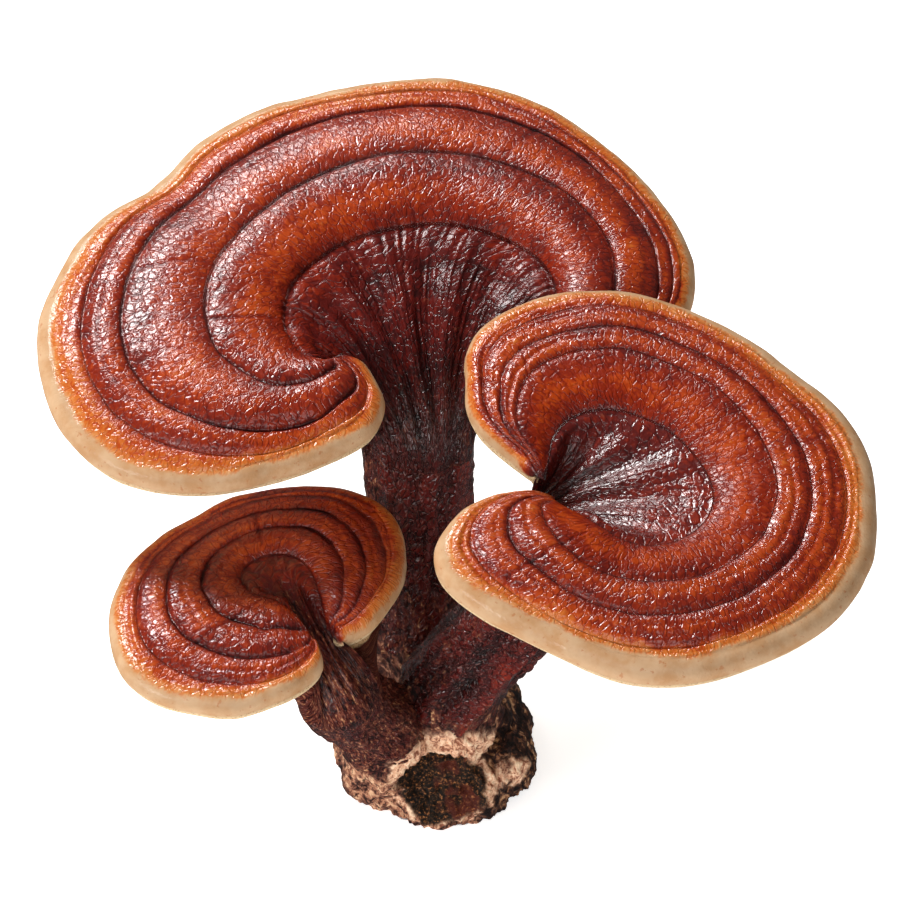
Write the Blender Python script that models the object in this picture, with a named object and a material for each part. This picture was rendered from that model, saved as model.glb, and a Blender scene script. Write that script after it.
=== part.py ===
"""Reishi mushroom: three kidney-shaped caps on three stems that fork from one root, cut off flat below.

World axes: +X to the right, +Y away from the viewer, +Z up, with the origin in the middle of the flat cut.
Lengths are in millimetres until a mesh is made, and every mesh is in metres.
"""
import math

import bmesh
import bpy
import numpy as np
from mathutils import Matrix, Vector, noise

MM = 0.001
GAP = 0.3

# Colours (linear) and roughness
LACQUER_RED = (0.23, 0.045, 0.015)
STEM_BROWN = (0.055, 0.018, 0.014)
ROOT_TAN = (0.27, 0.17, 0.11)
LACQUER_ROUGHNESS = 0.32
STEM_ROUGHNESS = 0.5
ROOT_ROUGHNESS = 0.85

# Stems: foot and neck points, the directions they leave and arrive in, and their radii
STEMS = {
    "back": {
        "foot": (-5, 13.5, 42), "foot_way": (0.0, 0.03, 1.0), "foot_radius": 14.4,
        "neck": (-5.5, 17, 94.5), "neck_way": (0.0, 0.10, 1.0), "neck_radius": 14.2,
        "folds": 7, "fold_depth": 0.7, "turn": 0.4,
    },
    "right": {
        "foot": (4.5, -19, 46), "foot_way": (0.36, -0.26, 0.9), "foot_radius": 13.2,
        "neck": (26, -34.5, 97), "neck_way": (0.30, -0.18, 0.94), "neck_radius": 13.2,
        "folds": 6, "fold_depth": 1.1, "turn": 2.3,
    },
    "left": {
        "foot": (-16.5, -26, 37), "foot_way": (-0.27, -0.5, 0.82), "foot_radius": 11.4,
        "neck": (-25.5, -39, 59.5), "neck_way": (-0.22, -0.36, 0.91), "neck_radius": 11.0,
        "folds": 6, "fold_depth": 0.6, "turn": 1.1,
    },
}
STEM_SIDES = 22
STEM_ROWS = 8

# Caps. A station is (core x, y, height, margin x, y, height) in the cap's own tilted frame, clockwise from
# above, from one side of the notch round the far side to the other side of the notch.
# "grooves" are growth rings, each as fractions of the way from core to margin at the start, middle and end.
CAPS = {
    "back": {
        "origin": (-2.6, 30, 130.3), "tilt": 15, "front_arc": (205, 345),
        "thick_margin": 8.6, "hump": 3.6, "fan_ridge": 1.0, "fan_ridges": 11,
        "grooves": ((0.34, 0.32, 0.44, 0.42), (0.64, 0.66, 0.76, 0.70), (0.82, 0.82, 0.90, 0.86)),
        "rolls": 1.5, "faces_kept": 0.041,
        "stations": (
            (-25.0, -17.0, -2.0, -22.0, -15.0, -2.0),
            (-27.0, -18.0, -1.5, -16.0, -18.0, -0.5),
            (-28.5, -18.3, -1.0, -12.0, -26.0, 0.0),
            (-29.5, -18.2, -0.5, -11.5, -33.0, 0.0),
            (-30.5, -18.0, 0.0, -15.0, -40.0, 0.0),
            (-31.5, -17.5, 0.0, -24.0, -45.5, -1.0),
            (-32.5, -16.5, 0.0, -38.0, -51.0, -2.0),
            (-33.5, -15.0, 0.0, -57.0, -55.0, -2.0),
            (-35.0, -12.0, 0.0, -77.0, -50.5, -2.0),
            (-36.0, -9.0, 0.0, -90.0, -39.0, -1.0),
            (-36.5, -5.0, 0.0, -97.0, -23.0, 0.0),
            (-36.0, 0.0, 0.0, -99.0, -6.0, 0.0),
            (-34.5, 5.0, 0.0, -94.5, 11.0, 1.0),
            (-31.5, 9.5, 0.0, -85.5, 27.0, 1.0),
            (-28.0, 13.0, 0.0, -72.5, 38.0, 0.0),
            (-23.0, 17.0, 0.0, -61.0, 53.5, 0.0),
            (-16.0, 20.5, 0.0, -42.0, 66.5, 0.0),
            (-7.0, 23.0, 0.0, -18.0, 73.0, 1.0),
            (2.0, 24.0, 0.0, 5.0, 75.5, 0.0),
            (11.0, 22.5, 0.0, 24.0, 69.5, 0.0),
            (20.0, 18.5, 0.0, 42.0, 57.0, 0.0),
            (27.0, 13.0, 0.0, 57.0, 39.0, 0.0),
            (31.0, 6.0, 0.0, 66.0, 22.0, -1.0),
            (31.5, 0.0, 0.0, 67.5, 7.0, -2.0),
            (30.5, -4.0, 0.0, 63.0, -5.0, -3.0),
            (28.5, -7.5, -0.5, 54.0, -13.0, -4.0),
            (26.0, -10.0, -1.0, 43.0, -17.5, -4.0),
            (23.5, -12.0, -1.5, 33.0, -18.0, -3.0),
            (21.0, -13.0, -2.0, 25.0, -16.5, -3.0),
            (19.0, -13.0, -3.0, 20.5, -14.5, -3.5),
        ),
    },
    "right": {
        "origin": (38.6, -35, 125.9), "tilt": 15, "front_arc": (110, 200),
        "thick_margin": 8.6, "hump": 3.2, "fan_ridge": 0.7, "fan_ridges": 9,
        "grooves": ((0.40, 0.44, 0.34, 0.31), (0.60, 0.62, 0.58, 0.56), (0.80, 0.81, 0.80, 0.79)),
        "rolls": 1.2, "faces_kept": 0.05,
        "stations": (
            (-13.0, 3.0, -5.0, -15.5, 4.5, -4.5),
            (-12.5, 6.0, -4.0, -19.0, 7.5, -3.0),
            (-12.0, 8.5, -3.5, -24.0, 12.0, -1.5),
            (-11.5, 11.0, -3.0, -29.0, 17.0, -0.5),
            (-11.0, 13.5, -2.5, -32.0, 24.0, 0.0),
            (-9.5, 16.0, -2.0, -32.2, 32.0, 0.0),
            (-8.0, 18.0, -2.0, -32.3, 39.5, 0.0),
            (-5.5, 20.0, -2.0, -28.5, 48.0, 0.0),
            (-2.0, 21.5, -2.0, -19.0, 55.0, 0.0),
            (2.0, 22.0, -2.0, -6.0, 59.0, 0.5),
            (6.0, 21.5, -2.0, 8.0, 58.5, 0.5),
            (11.0, 19.5, -2.0, 22.0, 54.5, 0.0),
            (16.0, 16.5, -2.0, 36.0, 46.0, 0.0),
            (20.0, 12.5, -2.0, 49.0, 34.0, 0.0),
            (23.5, 7.5, -2.0, 59.0, 23.0, 0.0),
            (26.0, 2.0, -2.0, 65.5, 9.0, 0.0),
            (27.0, -4.0, -2.0, 66.5, -6.0, 0.0),
            (25.0, -10.0, -2.0, 64.0, -22.0, -1.0),
            (21.0, -14.5, -1.5, 55.0, -36.5, -1.0),
            (16.0, -17.5, -1.0, 40.0, -47.0, -1.0),
            (10.5, -18.5, 0.0, 22.0, -53.7, -1.0),
            (6.0, -17.8, 0.5, 4.0, -53.2, -1.0),
            (3.0, -16.5, 1.0, -12.0, -46.3, 0.0),
            (1.0, -15.0, 1.5, -26.0, -38.7, 1.0),
            (-1.0, -13.5, 1.5, -36.0, -31.0, 2.0),
            (-2.5, -12.0, 1.0, -40.0, -22.0, 2.0),
            (-4.0, -10.5, 0.5, -37.0, -13.0, 3.0),
            (-5.5, -9.5, -0.5, -30.0, -7.0, 3.0),
            (-7.0, -8.5, -1.5, -21.5, -3.5, 2.5),
            (-8.5, -7.5, -3.0, -14.0, -3.5, 0.0),
            (-10.0, -6.5, -5.0, -11.5, -5.0, -4.0),
        ),
    },
    "left": {
        "origin": (-41.3, -23, 84.5), "tilt": 10, "front_arc": (250, 350),
        "thick_margin": 7.6, "hump": 2.2, "fan_ridge": 0.4, "fan_ridges": 6,
        "grooves": ((0.30, 0.30, 0.32, 0.34), (0.56, 0.58, 0.56, 0.58), (0.80, 0.80, 0.78, 0.80)),
        "rolls": 1.0, "faces_kept": 0.066,
        "stations": (
            (9.5, -17.0, -4.0, 10.3, -19.0, -3.5),
            (8.0, -15.0, -2.5, 12.0, -22.5, -1.0),
            (6.5, -13.0, -1.5, 12.0, -27.5, 0.0),
            (5.0, -11.3, -1.0, 8.5, -32.0, 0.0),
            (3.5, -10.0, -0.5, 2.0, -36.5, 0.0),
            (2.0, -9.0, 0.0, -8.0, -39.7, -1.0),
            (0.5, -8.0, 0.0, -18.0, -39.0, -1.0),
            (-1.5, -7.2, 0.0, -28.5, -35.7, -1.0),
            (-4.0, -6.2, 0.0, -36.5, -29.0, 0.0),
            (-6.3, -4.5, 0.0, -40.5, -18.0, 0.0),
            (-7.8, -2.2, 0.0, -40.8, -6.0, 0.0),
            (-8.0, 0.5, 0.0, -36.0, 6.5, 0.0),
            (-6.8, 2.8, 0.0, -27.5, 16.0, 0.0),
            (-5.0, 4.5, 0.0, -17.0, 24.0, 0.0),
            (-2.5, 5.8, 0.0, -5.0, 29.2, 0.0),
            (0.5, 6.2, 0.0, 7.0, 31.0, 0.0),
            (3.5, 5.8, 0.0, 19.0, 29.0, 0.0),
            (6.3, 4.2, 0.0, 28.5, 22.5, -0.5),
            (8.5, 1.8, -0.5, 32.5, 12.0, -1.0),
            (10.0, -1.5, -1.0, 32.3, 2.0, -1.0),
            (11.0, -5.0, -1.5, 29.0, -6.0, -1.0),
            (12.0, -8.5, -2.5, 24.5, -13.5, -1.0),
            (12.8, -11.5, -3.5, 19.0, -17.5, -2.0),
            (13.2, -14.3, -4.0, 15.5, -17.5, -4.0),
        ),
    },
}

# How a cap is lofted: rows and columns, and how its surfaces leave the neck and reach the margin
COLUMNS_PER_STATION = 6
ROWS_PER_ZONE = 8
ROLL_ROUNDNESS = 2.4
FAN_ROWS = 14
FAN_OPENING = 0.12
FAN_LEAVE = 0.9
FAN_ARRIVE = 0.75
FAN_LIFT = 0.10
RIM_ANGLES = (15, 30, 45, 60, 75, 90)
SEAM_BLEND = 0.10
SEAM_CORE = 0.86
THICKNESS_RAMP = 0.08
UNDER_FLARE = 2.2
UNDER_SPREAD = 1.35
NECK_SPARE = 4.0
NECK_CUT = 34.0
CAP_VOXEL = 1.1

# Root: rounded lumps that merge, as (centre, radii), and the stubs that carry the stems down into them
ROOT_LUMPS = (
    ((2, 1, 7), (22, 25, 18)),
    ((16.5, -13, 9), (8.5, 10, 9)),
    ((9.5, -5, 17), (9, 9, 9)),
    ((1, -17, 5), (17, 12.5, 16)),
    ((-9, 14, 14), (15, 14, 17)),
    ((7, 14, 10), (12.5, 13, 13)),
)
ROOT_HEARTS = {
    "back": ((0, 11, 6), 16.0),
    "right": ((1, -8, 14), 14.0),
    "left": ((-12, -10, 4), 12.5),
}
ROOT_STUB_STEPS = 9
ROOT_VOXEL = 1.3
ROOT_KEPT = 0.045
ROOT_LUMPINESS = 1.6
ROOT_LUMP_SIZE = 8.0
ROOT_LUMP_HEIGHT = 12.0
FOOT_SPARE = 3.0
FOOT_CALM = 15.0
FOOT_CUT = 34.0
GROUND_CUT = 120.0
CHAR_CENTRE = (1.5, -26.8, 11)
CHAR_WAY = (0.0, -0.96, 0.27)
CHAR_RADIUS = 11.5
CHAR_DEPTH = 12.0


def clear_scene():
    for thing in list(bpy.data.objects):
        bpy.data.objects.remove(thing, do_unlink=True)


def make_material(name, colour, roughness):
    material = bpy.data.materials.new(name)
    material.use_nodes = True
    shader = material.node_tree.nodes["Principled BSDF"]
    shader.inputs["Base Color"].default_value = (*colour, 1.0)
    shader.inputs["Roughness"].default_value = roughness
    shader.inputs["Metallic"].default_value = 0.0
    material.diffuse_color = (*colour, 1.0)
    return material


def unit(vectors):
    """The vectors at length one."""
    vectors = np.asarray(vectors, float)
    return vectors / np.maximum(np.linalg.norm(vectors, axis=-1, keepdims=True), 1e-9)


def smooth_through(points, at):
    """A Catmull-Rom curve through the points, read at parameters from 0 to 1."""
    points = np.asarray(points, float)
    ends = np.vstack([2 * points[0] - points[1], points, 2 * points[-1] - points[-2]])
    place = np.clip(np.asarray(at, float), 0, 1) * (len(points) - 1)
    index = np.minimum(place.astype(int), len(points) - 2)
    t = (place - index)[:, None]
    p0, p1, p2, p3 = ends[index], ends[index + 1], ends[index + 2], ends[index + 3]
    return 0.5 * (2 * p1 + (p2 - p0) * t + (2 * p0 - 5 * p1 + 4 * p2 - p3) * t ** 2
                  + (3 * p1 - p0 - 3 * p2 + p3) * t ** 3)


def hermite(start, end, start_pull, end_pull, t):
    """A curve from start to end that leaves and arrives along the two pulls."""
    return ((2 * t ** 3 - 3 * t ** 2 + 1) * start + (t ** 3 - 2 * t ** 2 + t) * start_pull
            + (3 * t ** 2 - 2 * t ** 3) * end + (t ** 3 - t ** 2) * end_pull)


def cap_axes(cap):
    """The cap's own axes as rows: x, y and up, tilted towards the viewer about X."""
    tilt = math.radians(cap["tilt"])
    return np.array([(1, 0, 0), (0, math.cos(tilt), math.sin(tilt)), (0, -math.sin(tilt), math.cos(tilt))])


def ring_basis(way):
    """Two directions square to the stem's way: the first near +X, the second near +Y."""
    way = unit(way)
    second = unit(np.cross(way, (1.0, 0.0, 0.0)))
    return np.cross(second, way), second


def neck_point(stem, angle):
    """A point of the round neck, at an angle measured from +X towards +Y."""
    first, second = ring_basis(stem["neck_way"])
    return (np.array(stem["neck"]) + stem["neck_radius"]
            * (np.cos(angle)[:, None] * first + np.sin(angle)[:, None] * second))


def zone_rows(cap, phi):
    """Rows from core to margin that follow the growth rings: (fraction for each column, roll height)."""
    rings = [smooth_through([[value] for value in ring], phi)[:, 0] for ring in cap["grooves"]]
    edges = [np.zeros(len(phi)), *rings, np.ones(len(phi))]
    rows = []
    for inner, outer in zip(edges[:-1], edges[1:]):
        for step in range(1, ROWS_PER_ZONE + 1):
            way = step / ROWS_PER_ZONE
            roll = 1.0 - abs(2.0 * way - 1.0) ** ROLL_ROUNDNESS
            rows.append((inner + (outer - inner) * way, roll))
    return rows


class CapLoft:
    """Rings of points from the neck to the margin, in the cap's own frame, and then in the world's.

    Every ring has a front half, which runs over the fan and the top, and a back half underneath. They meet
    at two seams, one on each side of the notch, and the last ring is the margin itself.
    """

    def __init__(self, cap, stem):
        self.cap = cap
        self.columns = COLUMNS_PER_STATION * (len(cap["stations"]) - 1)
        self.phi = np.linspace(0, 1, self.columns + 1)
        self.axes = cap_axes(cap)
        self.origin = np.array(cap["origin"], float)
        line = smooth_through(cap["stations"], self.phi)
        self.core, self.margin = line[:, :3], line[:, 3:]
        self.reach = np.linalg.norm((self.margin - self.core)[:, :2], axis=1)
        self.outward = unit((self.margin - self.core)[:, :2])
        self.from_seam = np.minimum(self.phi, 1 - self.phi)
        self.ramp = np.sqrt(1 - (1 - np.minimum(self.from_seam / THICKNESS_RAMP, 1)) ** 2)
        self.thick = cap["thick_margin"] * self.ramp
        self.inset = np.minimum(cap["thick_margin"] / 2, 0.4 * self.reach)
        self.shoulder = self.margin[:, :2] - self.outward * self.inset[:, None]

        start, stop = (math.radians(angle) for angle in cap["front_arc"])
        self.front_neck = self.to_cap(neck_point(stem, start + (stop - start) * self.phi))
        self.back_neck = self.to_cap(neck_point(stem, start - (2 * math.pi - stop + start) * self.phi))
        self.stem_way = self.axes @ unit(stem["neck_way"])
        self.zones = zone_rows(cap, self.phi)
        self.rows = FAN_ROWS + len(self.zones)
        self.core[[0, -1]] = self.underside(FAN_ROWS)[[0, -1]]

    def to_cap(self, points):
        return (points - self.origin) @ self.axes.T

    def to_world(self, points):
        return points @ self.axes + self.origin

    def underside(self, row):
        """A trumpet from the back of the neck out to the lower edge of the margin."""
        plain = row / self.rows
        beyond = max(row - FAN_ROWS, 0) / (self.rows - FAN_ROWS)
        steep = min(row / FAN_ROWS, 1) * SEAM_CORE + beyond * (1 - SEAM_CORE)
        near_seam = np.clip(1 - self.from_seam / SEAM_BLEND, 0, 1) ** 2
        way = (plain + (steep - plain) * near_seam)[:, None]
        flare = np.column_stack([self.shoulder, self.margin[:, 2] - self.thick]) - self.back_neck
        plan = self.back_neck[:, :2] + flare[:, :2] * way ** UNDER_SPREAD
        height = self.back_neck[:, 2:] + flare[:, 2:] * (1 - (1 - way) ** UNDER_FLARE)
        return np.hstack([plan, height])

    def fan(self):
        """From the front of the neck up and over to the edge of the core, with low radial ridges."""
        heart = self.core[:, :2].mean(axis=0)
        span = np.linalg.norm(self.core - self.front_neck, axis=1)[:, None]
        open_out = np.minimum(self.from_seam / FAN_OPENING, 1)
        leave = self.stem_way * span * FAN_LEAVE
        arrive = np.column_stack([unit(self.core[:, :2] - heart), np.full(len(self.phi), FAN_LIFT)])
        arrive = arrive * span * FAN_ARRIVE * open_out[:, None]
        ridge = self.cap["fan_ridge"] * np.sin(2 * math.pi * self.cap["fan_ridges"] * self.phi) * open_out
        hold = np.clip(1 - self.from_seam / SEAM_BLEND, 0, 1)[:, None] ** 2
        seam = np.where(self.phi < 0.5, 0, self.columns)
        rings = []
        for row in range(FAN_ROWS + 1):
            ring = hermite(self.front_neck, self.core, leave, arrive, row / FAN_ROWS)
            ring[:, 2] += ridge * math.sin(math.pi * row / FAN_ROWS)
            rings.append(ring * (1 - hold) + self.underside(row)[seam] * hold)
        return rings

    def top(self):
        """Convex rolls between the growth rings, on a low hump."""
        size = np.minimum(self.reach / 30, 1) * self.ramp
        rings = []
        for place, roll in self.zones:
            plan = self.core[:, :2] + (self.shoulder - self.core[:, :2]) * place[:, None]
            height = self.core[:, 2] + (self.margin[:, 2] - self.core[:, 2]) * place
            rise = self.cap["hump"] * np.sin(math.pi * place ** 0.8) + self.cap["rolls"] * roll
            ring = np.column_stack([plan, height + size * rise])
            ring[[0, -1]] = self.underside(FAN_ROWS + len(rings) + 1)[[0, -1]]
            rings.append(ring)
        return rings

    def rim(self, side):
        """The rounded margin, from the upper (1) or the lower (-1) edge out to the middle."""
        rings = []
        for angle in RIM_ANGLES:
            out, turn = math.sin(math.radians(angle)), math.cos(math.radians(angle))
            plan = self.shoulder + self.outward * (self.inset * out)[:, None]
            height = self.margin[:, 2] - self.thick / 2 * (1 - side * turn)
            rings.append(np.column_stack([plan, height]))
        return rings

    def rings(self):
        """Matching front and back rings in the world's frame, with a first ring below the neck."""
        front = self.fan() + self.top() + self.rim(1)
        back = [self.underside(row) for row in range(self.rows + 1)] + self.rim(-1)
        front.insert(0, front[0] - self.stem_way * NECK_SPARE)
        back.insert(0, back[0] - self.stem_way * NECK_SPARE)
        return [self.to_world(ring) for ring in front], [self.to_world(ring) for ring in back]


def object_from(name, mesh_builder, material):
    """A named object whose mesh the builder fills, with its normals out and its triangles fixed."""
    bm = bmesh.new()
    mesh_builder(bm)
    bmesh.ops.triangulate(bm, faces=bm.faces[:])
    bmesh.ops.recalc_face_normals(bm, faces=bm.faces[:])
    mesh = bpy.data.meshes.new(name)
    bm.to_mesh(mesh)
    bm.free()
    mesh.shade_smooth()
    mesh.set_sharp_from_angle(angle=math.radians(50))
    mesh.materials.append(material)
    piece = bpy.data.objects.new(name, mesh)
    bpy.context.scene.collection.objects.link(piece)
    return piece


def merge_and_thin(piece, voxel, share):
    """One clean closed skin round everything in the mesh, and then only as many faces as its shape needs."""
    remesh = piece.modifiers.new("merge", "REMESH")
    remesh.mode = "VOXEL"
    remesh.voxel_size = voxel * MM
    thin_out = piece.modifiers.new("thin_out", "DECIMATE")
    thin_out.ratio = share


def build_cap(name, cap, stem, material):
    """The cap with its flared neck, cut off flat where the stem begins."""
    front, back = CapLoft(cap, stem).rings()

    def fill(bm):
        fronts = [[bm.verts.new(point * MM) for point in ring] for ring in front]
        backs = [[row[0], *[bm.verts.new(point * MM) for point in ring[1:-1]], row[-1]]
                 for row, ring in zip(fronts, back[:-1])]
        backs.append(fronts[-1])
        for rows, turned in ((fronts, False), (backs, True)):
            for lower, upper in zip(rows[:-1], rows[1:]):
                for j in range(len(lower) - 1):
                    face = (lower[j], lower[j + 1], upper[j + 1], upper[j])
                    bm.faces.new(face[::-1] if turned else face)
        bm.faces.new(fronts[0][::-1] + backs[0][1:-1])

    piece = object_from(name, fill, material)
    merge_and_thin(piece, CAP_VOXEL, cap["faces_kept"])
    cut_away(piece, cutting_box(name + "_cut", stem["neck"], [-part for part in stem["neck_way"]], NECK_CUT))
    return piece


def stem_frames(stem, count):
    """Points, ways and radii along the stem's middle line, foot to neck."""
    foot, neck = np.array(stem["foot"], float), np.array(stem["neck"], float)
    length = np.linalg.norm(neck - foot)
    leave, arrive = unit(stem["foot_way"]) * length, unit(stem["neck_way"]) * length
    ts = np.linspace(0, 1, count)
    points = np.array([hermite(foot, neck, leave, arrive, t) for t in ts])
    ways = np.gradient(points, axis=0)
    ways[0], ways[-1] = leave, arrive
    radii = stem["foot_radius"] + (stem["neck_radius"] - stem["foot_radius"]) * ts
    radii = radii - 1.0 * np.sin(math.pi * ts)
    return ts, points, unit(ways), radii


def build_stem(name, stem, material):
    """A tube with long folds; its two flat ends stay clear of the root and of the cap."""
    ts, points, ways, radii = stem_frames(stem, STEM_ROWS + 1)
    points[0] += ways[0] * GAP
    points[-1] -= ways[-1] * GAP
    angles = np.linspace(0, 2 * math.pi, STEM_SIDES, endpoint=False)

    def fill(bm):
        rows = []
        for t, point, way, radius in zip(ts, points, ways, radii):
            first, second = ring_basis(way)
            fold = stem["fold_depth"] * math.sin(math.pi * t)
            row = []
            for angle in angles:
                reach = radius + fold * math.cos(stem["folds"] * angle + stem["turn"] + 1.2 * t)
                spot = point + reach * (math.cos(angle) * first + math.sin(angle) * second)
                row.append(bm.verts.new(spot * MM))
            rows.append(row)
        for lower, upper in zip(rows[:-1], rows[1:]):
            for j in range(STEM_SIDES):
                k = (j + 1) % STEM_SIDES
                bm.faces.new((lower[j], lower[k], upper[k], upper[j]))
        bm.faces.new(rows[0][::-1])
        bm.faces.new(rows[-1])

    return object_from(name, fill, material)


def add_ball(bm, centre, radii):
    place = Matrix.Translation(Vector(centre) * MM) @ Matrix.Diagonal((*[r * MM for r in radii], 1.0))
    bmesh.ops.create_icosphere(bm, subdivisions=3, radius=1.0, matrix=place)


def add_stub(bm, stem, heart, heart_radius):
    """Balls from the stem's foot down to the heart of the root, and a cylinder that runs past the foot."""
    foot, way = Vector(stem["foot"]), Vector(stem["foot_way"]).normalized()
    radius = stem["foot_radius"]
    for step in range(ROOT_STUB_STEPS + 1):
        t = step / ROOT_STUB_STEPS
        centre = (foot - way * radius).lerp(Vector(heart), t)
        size = radius + (heart_radius - radius) * t
        add_ball(bm, centre, (size, size, size))
    turn = Vector((0, 0, 1)).rotation_difference(way).to_matrix().to_4x4()
    length = radius + FOOT_SPARE
    place = Matrix.Translation((foot + way * (FOOT_SPARE - length / 2)) * MM) @ turn
    bmesh.ops.create_cone(bm, cap_ends=True, segments=32, radius1=radius * MM, radius2=radius * MM,
                          depth=length * MM, matrix=place)


def cutter_from(name, bm, centre, way, reach):
    """A cutter whose near face passes through the centre and looks against the way."""
    mesh = bpy.data.meshes.new(name)
    bm.to_mesh(mesh)
    bm.free()
    cutter = bpy.data.objects.new(name, mesh)
    way = Vector(way).normalized()
    cutter.rotation_mode = "QUATERNION"
    cutter.rotation_quaternion = Vector((0, 0, 1)).rotation_difference(way)
    cutter.location = (Vector(centre) + way * reach / 2) * MM
    cutter.hide_render = True
    cutter.display_type = "WIRE"
    bpy.context.scene.collection.objects.link(cutter)
    return cutter


def cutting_box(name, centre, way, size):
    bm = bmesh.new()
    bmesh.ops.create_cube(bm, size=size * MM)
    return cutter_from(name, bm, centre, way, size)


def cutting_disc(name, centre, way, radius, depth):
    bm = bmesh.new()
    bmesh.ops.create_cone(bm, cap_ends=True, segments=14, radius1=radius * MM, radius2=radius * MM,
                          depth=depth * MM)
    return cutter_from(name, bm, centre, way, depth)


def cut_away(piece, cutter):
    boolean = piece.modifiers.new(cutter.name, "BOOLEAN")
    boolean.operation = "DIFFERENCE"
    boolean.object = cutter


def build_root(material):
    """Lumps and stem stubs merged into one knobbly root, cut flat at the bottom and at each stem's foot."""

    def fill(bm):
        for centre, radii in ROOT_LUMPS:
            add_ball(bm, centre, radii)
        for side, stem in STEMS.items():
            add_stub(bm, stem, *ROOT_HEARTS[side])
        for vert in bm.verts:
            spot = vert.co / MM
            way = (spot - Vector((0, 0, ROOT_LUMP_HEIGHT))).normalized()
            from_foot = min((spot - Vector(stem["foot"])).length for stem in STEMS.values())
            calm = min(max(from_foot / FOOT_CALM - 1, 0), 1)
            vert.co += way * ROOT_LUMPINESS * calm * noise.noise(spot / ROOT_LUMP_SIZE) * MM

    root = object_from("base", fill, material)
    merge_and_thin(root, ROOT_VOXEL, ROOT_KEPT)
    cut_away(root, cutting_box("ground_cut", (0, 0, 0), (0, 0, -1), GROUND_CUT))
    for side, stem in STEMS.items():
        cut_away(root, cutting_box(side + "_foot_cut", stem["foot"], stem["foot_way"], FOOT_CUT))
    cut_away(root, cutting_disc("char_cut", CHAR_CENTRE, CHAR_WAY, CHAR_RADIUS, CHAR_DEPTH))
    return root


clear_scene()
lacquer = make_material("lacquer", LACQUER_RED, LACQUER_ROUGHNESS)
stem_skin = make_material("stem_skin", STEM_BROWN, STEM_ROUGHNESS)
root_skin = make_material("root_skin", ROOT_TAN, ROOT_ROUGHNESS)
build_root(root_skin)
for side in ("back", "right", "left"):
    build_stem(side + "_stem", STEMS[side], stem_skin)
    build_cap(side + "_cap", CAPS[side], STEMS[side], lacquer)
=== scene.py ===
"""Looks of the reishi mushroom: ringed lacquered caps, folded stems and a broken woody root.

The outlines and stem lines repeat the part's own named values, in millimetres, and every mesh is in metres.
World axes: +X to the right, +Y away from the viewer, +Z up.
"""
import math

import bmesh
import bpy
import numpy as np
from mathutils import Matrix, Vector, noise


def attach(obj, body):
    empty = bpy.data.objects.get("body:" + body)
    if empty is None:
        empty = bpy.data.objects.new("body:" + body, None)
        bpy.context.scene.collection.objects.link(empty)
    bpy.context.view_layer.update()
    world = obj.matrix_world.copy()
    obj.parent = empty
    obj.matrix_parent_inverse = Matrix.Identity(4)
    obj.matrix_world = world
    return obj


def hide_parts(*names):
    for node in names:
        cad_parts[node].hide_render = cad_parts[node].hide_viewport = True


MM = 0.001

# Camera: where it looks, how steeply, from how far, and its lens
CAMERA_TARGET = (2.5, -3.0, 108.5)
CAMERA_DOWN = 40.0
CAMERA_DISTANCE = 950.0
CAMERA_LENS = 152.0
CAMERA_SENSOR = 36.0

# Stems. Feet, necks, the directions they leave and arrive in, radii and folds are as in the part. "relief" is
# the height of the cords in mm. Bark is a share from 0 to 1: "bark" all over, "low_bark" near the root, and
# "bark_up" is how far it runs up the cap's fan. A strip of bark lies at the angle "strip_at", in degrees,
# from the share "strip_from" of the way up.
STEMS = {
    "back": {
        "foot": (-5, 13.5, 42), "foot_way": (0, 0.03, 1), "foot_radius": 14.4,
        "neck": (-5.5, 17, 94.5), "neck_way": (0, 0.10, 1), "neck_radius": 14.2,
        "folds": 7, "fold_depth": 0.7, "turn": 0.4, "relief": 0.9, "seed": 3,
        "bark": 0.16, "bark_up": 0.6, "low_bark": 0.42, "strip_at": 200, "strip_from": -0.5,
    },
    "right": {
        "foot": (4.5, -19, 46), "foot_way": (0.36, -0.26, 0.9), "foot_radius": 13.2,
        "neck": (26, -34.5, 97), "neck_way": (0.30, -0.18, 0.94), "neck_radius": 13.2,
        "folds": 7, "fold_depth": 0.7, "turn": 2.3, "relief": 1.5, "seed": 9,
        "bark": 0.1, "bark_up": 0.6, "low_bark": 0.3, "strip_at": 160, "strip_from": 0.4,
    },
    "left": {
        "foot": (-16.5, -26, 37), "foot_way": (-0.27, -0.5, 0.82), "foot_radius": 11.4,
        "neck": (-25.5, -39, 59.5), "neck_way": (-0.22, -0.36, 0.91), "neck_radius": 11,
        "folds": 6, "fold_depth": 0.6, "turn": 1.1, "relief": 0.5, "seed": 7,
        "bark": 0.6, "bark_up": 1.05, "low_bark": 0.6, "strip_at": 40, "strip_from": -0.5,
    },
}
STEM_SIDES = 168
STEM_STEP = 0.5
STEM_INTO_ROOT = 7.0
STEM_INTO_CAP = 1.2
STEM_TUCK = 0.35
STEM_RIPPLES = 0.6
STEM_RIPPLE_WAVE = 1.5
STEM_GRIT = 0.2
STEM_ROUGHER = 3.0
STEM_GLOSS = 1.6
STEM_TONE = 0.22

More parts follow.
